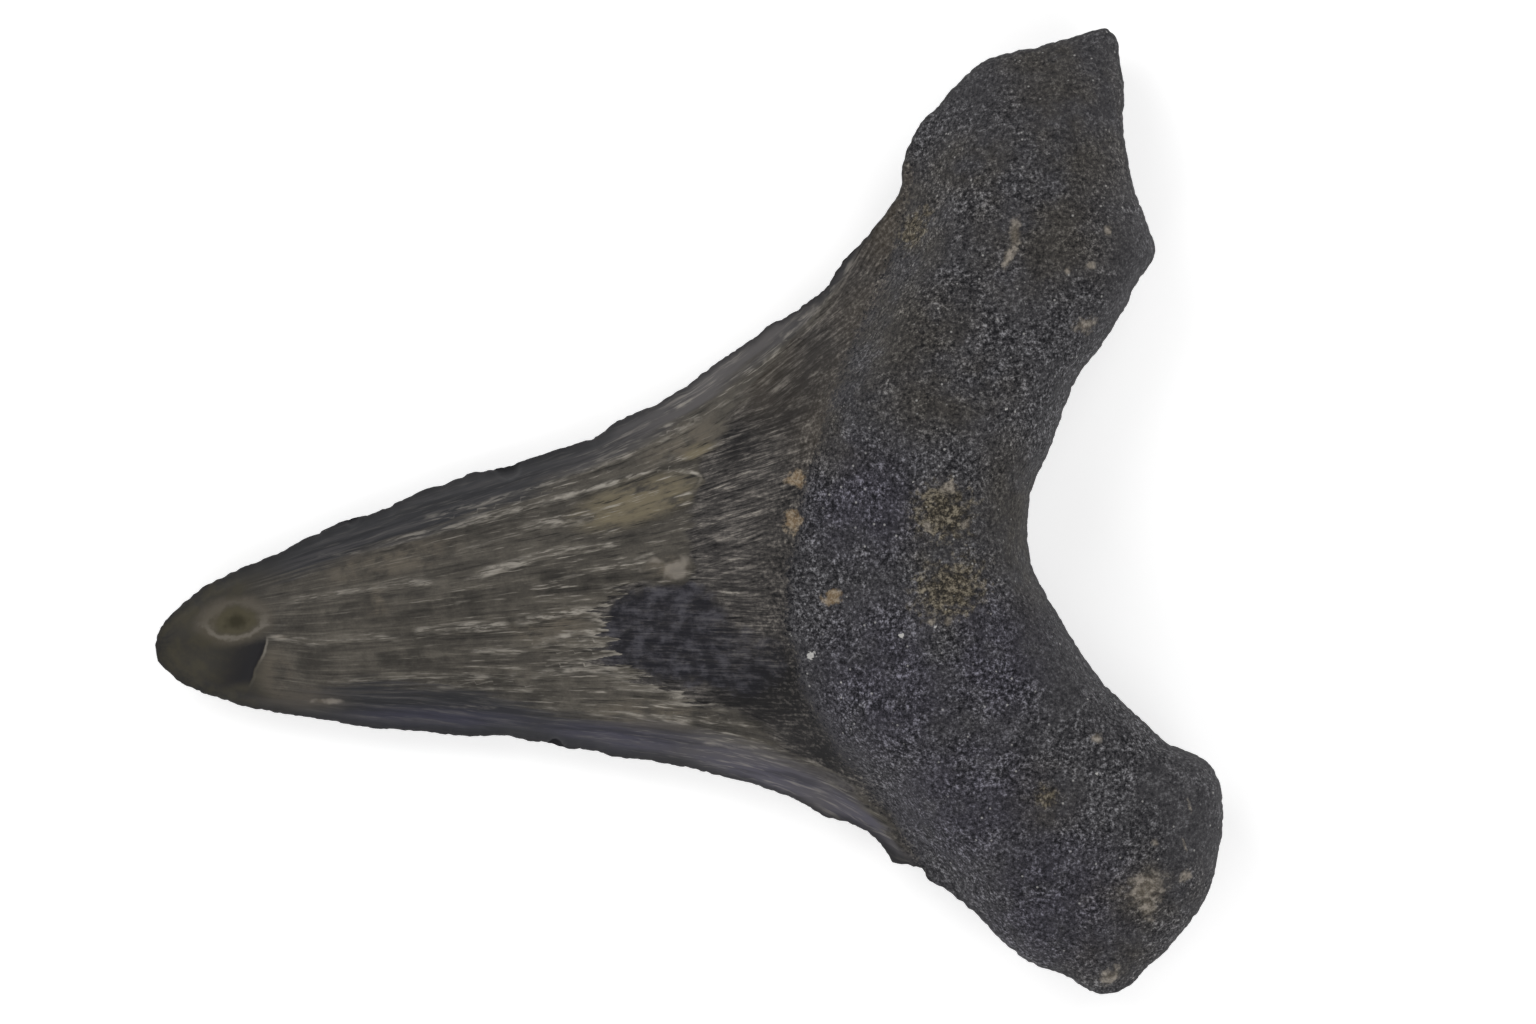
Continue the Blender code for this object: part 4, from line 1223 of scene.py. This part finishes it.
def tooth_finish(colours):
    """One material over the whole tooth; stored fields tell it where each surface lies."""
    f = Finish("fossil_tooth")
    place = f.add("TexCoord").outputs["Object"]
    flow = f.field("flow", "Vector")
    worn, streak, lines, along = enamel_look(f, colours, place, flow)
    fibres, strands = fibre_look(f, colours, place, along)
    stone, speckle = stone_look(f, colours, place)
    margin, soft = margin_look(f, colours, flow, lines, along)

    edge_wander = f.drawn_out(flow, 1.4, 0.12, 3.0, 0.6)
    margin_share = f.rise(f.wander(f.field("margin"), edge_wander, 4.0), -0.9, 0.9)
    tip_share = f.rise(f.wander(along, soft, 6.0), -38.5, -43.5)
    smooth_share = f.sums("MAXIMUM", margin_share, tip_share)
    enamel_share, lip_highlight = enamel_end(f, flow, strands)
    crown_share = f.rise(f.wander(f.field("crown"), speckle, 6.0), -0.5, 0.5)
    root_share = f.mix_value(crown_share, 1.0, 0.0)

    enamel = f.tint(f.mix(smooth_share, worn, margin), colours.silver, streak, smooth_share, 0.7)
    enamel = tip_marks(f, colours, place, enamel, along)
    # Painted highlight along the feathered end of the enamel.
    crown = f.tint(f.mix(enamel_share, fibres, enamel), colours.silver, lip_highlight)
    colour = f.mix(crown_share, stone, crown)
    colour = root_marks(f, colours, place, colour, speckle, root_share)
    # Painted shade: a thin dark line all along the outline, where the surface turns away from the light.
    colour = f.tint(colour, colours.rim, f.rise(f.field("rim"), 0.5, 0.0), 0.45)
    f.put(f.shader.inputs["Base Color"], colour)

    rough = f.mix_value(smooth_share, f.mix_value(lines, *ENAMEL_ROUGHNESS), MARGIN_ROUGHNESS)
    rough = f.mix_value(enamel_share, FIBRE_ROUGHNESS, rough)
    f.put(f.shader.inputs["Roughness"], f.mix_value(crown_share, STONE_ROUGHNESS, rough))
    f.put(f.shader.inputs["Specular IOR Level"], SPECULAR)
    enamel_height = f.both(f.mix_value(smooth_share, 1.0, 0.2), lines, 0.5)
    height = f.mix_value(enamel_share, f.both(strands, 0.9), f.sums("ADD", enamel_height, 0.35))
    height = f.mix_value(crown_share, f.both(speckle, 1.5), f.both(height, f.rise(along, -50.0, -34.0)))
    inputs = (("Strength", BUMP_STRENGTH), ("Distance", BUMP_HEIGHT), ("Height", height))
    f.put(f.shader.inputs["Normal"], f.add("Bump", inputs).outputs["Normal"])
    return f.material


class FOSSIL_OT_tooth(bpy.types.Operator):
    """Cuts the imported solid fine, carves its relief and gives it its finish"""

    bl_idname = "fossil.tooth"
    bl_label = "Fossil tooth"

    def execute(self, context):
        mesh = fine_mesh(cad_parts["tooth"])
        surface = Surface(mesh)
        round_facets(surface)
        lingual = surface.lingual()
        fields = tooth_fields(surface, lingual)
        carve(surface, fields, lingual, context.scene.tooth_relief)
        wear_edges(surface, context.scene.tooth_relief)
        for name, values in fields.items():
            surface.keep(name, values)
        mesh.attributes.remove(mesh.attributes["side"])
        mesh.shade_smooth()
        mesh.materials.append(tooth_finish(context.scene.tooth_colours))
        tooth = bpy.data.objects.new("fossil_tooth", mesh)
        context.collection.objects.link(tooth)
        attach(tooth, "root")
        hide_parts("tooth")
        return {"FINISHED"}


# ---------------------------------------------------------------- the stage

EDGE_HEIGHT = 5 * MM  # of the tooth's edge, where the field width is measured
VIEW_CENTRE = (10.37 * MM, 4.57 * MM)
SENSOR_WIDTH = 36.0  # millimetres
NEAREST_SEEN = 0.01
FURTHEST_SEEN = 20.0
SOFTBOX_WIDTH = 0.6
SOFTBOX_DISTANCE = 0.95
# Where the lights stand, in degrees.
KEY_AZIMUTH = 130
KEY_ELEVATION = 45
FILL_ELEVATION = 42
FLOOR_ROUGHNESS = 0.9
FLOOR_GLOW = 0.52
# The sky's brightness at the horizon and overhead, for a strength of 1.
HORIZON = 1.6
OVERHEAD = 0.6
WHITE = (1.0, 1.0, 1.0, 1.0)


def softbox(name, power, azimuth, elevation):
    """A square area light that looks at the tooth from a direction given in degrees."""
    lamp = bpy.data.lights.new(name, "AREA")
    lamp.shape = "SQUARE"
    lamp.size = SOFTBOX_WIDTH
    lamp.energy = power
    a, e = math.radians(azimuth), math.radians(elevation)
    direction = Vector((math.cos(a) * math.cos(e), math.sin(a) * math.cos(e), math.sin(e)))
    light = bpy.data.objects.new(name, lamp)
    light.location = direction * SOFTBOX_DISTANCE
    light.rotation_euler = (-light.location).to_track_quat("-Z", "Y").to_euler()
    bpy.context.collection.objects.link(light)


def floor_piece(settings):
    """A square of plain pale paper that glows a little, so that it stays pale right up to the tooth."""
    shape = bmesh.new()
    bmesh.ops.create_grid(shape, x_segments=1, y_segments=1, size=settings.floor_width / 2)
    mesh = bpy.data.meshes.new("floor")
    shape.to_mesh(mesh)
    shape.free()
    f = Finish("floor_paper")
    for name, value in (
        ("Base Color", settings.floor_colour),
        ("Roughness", FLOOR_ROUGHNESS),
        ("Emission Color", WHITE),
        ("Emission Strength", FLOOR_GLOW),
    ):
        f.put(f.shader.inputs[name], value)
    mesh.materials.append(f.material)
    floor = bpy.data.objects.new("floor", mesh)
    bpy.context.collection.objects.link(floor)


def sky(strength):
    """White surroundings, dimmer overhead so that the dark tooth doesn't mirror them."""
    world = bpy.data.worlds.new("studio")
    world.use_nodes = True
    nodes, links = world.node_tree.nodes, world.node_tree.links
    background = nodes["Background"]
    where = nodes.new("ShaderNodeTexCoord")
    parts = nodes.new("ShaderNodeSeparateXYZ")
    fade = nodes.new("ShaderNodeMapRange")
    links.new(where.outputs["Generated"], parts.inputs[0])
    links.new(parts.outputs["Z"], fade.inputs["Value"])
    links.new(fade.outputs[0], background.inputs["Strength"])
    fade.inputs["To Min"].default_value = strength * HORIZON
    fade.inputs["To Max"].default_value = strength * OVERHEAD
    background.inputs["Color"].default_value = WHITE
    bpy.context.scene.world = world


def camera(settings):
    """A camera with a long lens that looks straight down on the tooth."""
    lens = bpy.data.cameras.new("camera")
    lens.lens = settings.lens
    lens.sensor_width = SENSOR_WIDTH
    lens.clip_start = NEAREST_SEEN
    lens.clip_end = FURTHEST_SEEN
    eye = bpy.data.objects.new("camera", lens)
    distance = settings.field_width * settings.lens / SENSOR_WIDTH
    eye.location = (*VIEW_CENTRE, EDGE_HEIGHT + distance)
    eye.rotation_euler = (0.0, 0.0, settings.turn)
    bpy.context.collection.objects.link(eye)
    bpy.context.scene.camera = eye


class FOSSIL_OT_stage(bpy.types.Operator):
    """Adds the pale floor, the soft lights and the camera above the tooth"""

    bl_idname = "fossil.stage"
    bl_label = "Stage"

    def execute(self, context):
        settings = context.scene.tooth_stage
        floor_piece(settings)
        sky(settings.sky_strength)
        softbox("key_light", settings.key_power, KEY_AZIMUTH, KEY_ELEVATION)
        for k in range(settings.fill_lights):
            azimuth = KEY_AZIMUTH + 360 * (k + 1) / (settings.fill_lights + 1)
            softbox(f"fill_light_{k}", settings.fill_power, azimuth, FILL_ELEVATION)
        camera(settings)
        context.scene.view_settings.view_transform = "Standard"
        return {"FINISHED"}


class FOSSIL_PT_tooth(bpy.types.Panel):
    """Lists the settings of the tooth and of the stage, and the operators that make them"""

    bl_idname = "FOSSIL_PT_tooth"
    bl_label = "Fossil tooth"
    bl_space_type = "VIEW_3D"
    bl_region_type = "UI"
    bl_category = "Fossil"

    def draw(self, context):
        scene = context.scene
        for operator, group in (
            ("fossil.tooth", scene.tooth_relief),
            (None, scene.tooth_colours),
            ("fossil.stage", scene.tooth_stage),
        ):
            box = self.layout.box()
            for name in group.bl_rna.properties.keys():
                if name not in ("rna_type", "name"):
                    box.prop(group, name)
            if operator:
                box.operator(operator)


CLASSES = (ToothRelief, ToothColours, StageSettings, FOSSIL_OT_tooth, FOSSIL_OT_stage, FOSSIL_PT_tooth)


def register():
    for cls in CLASSES:
        bpy.utils.register_class(cls)
    bpy.types.Scene.tooth_relief = PointerProperty(type=ToothRelief)
    bpy.types.Scene.tooth_colours = PointerProperty(type=ToothColours)
    bpy.types.Scene.tooth_stage = PointerProperty(type=StageSettings)


def unregister():
    del bpy.types.Scene.tooth_stage
    del bpy.types.Scene.tooth_colours
    del bpy.types.Scene.tooth_relief
    for cls in reversed(CLASSES):
        bpy.utils.unregister_class(cls)


def main():
    """Builds the tooth and its stage."""
    register()
    bpy.ops.fossil.tooth()
    bpy.ops.fossil.stage()


if __name__ == "__main__":
    main()
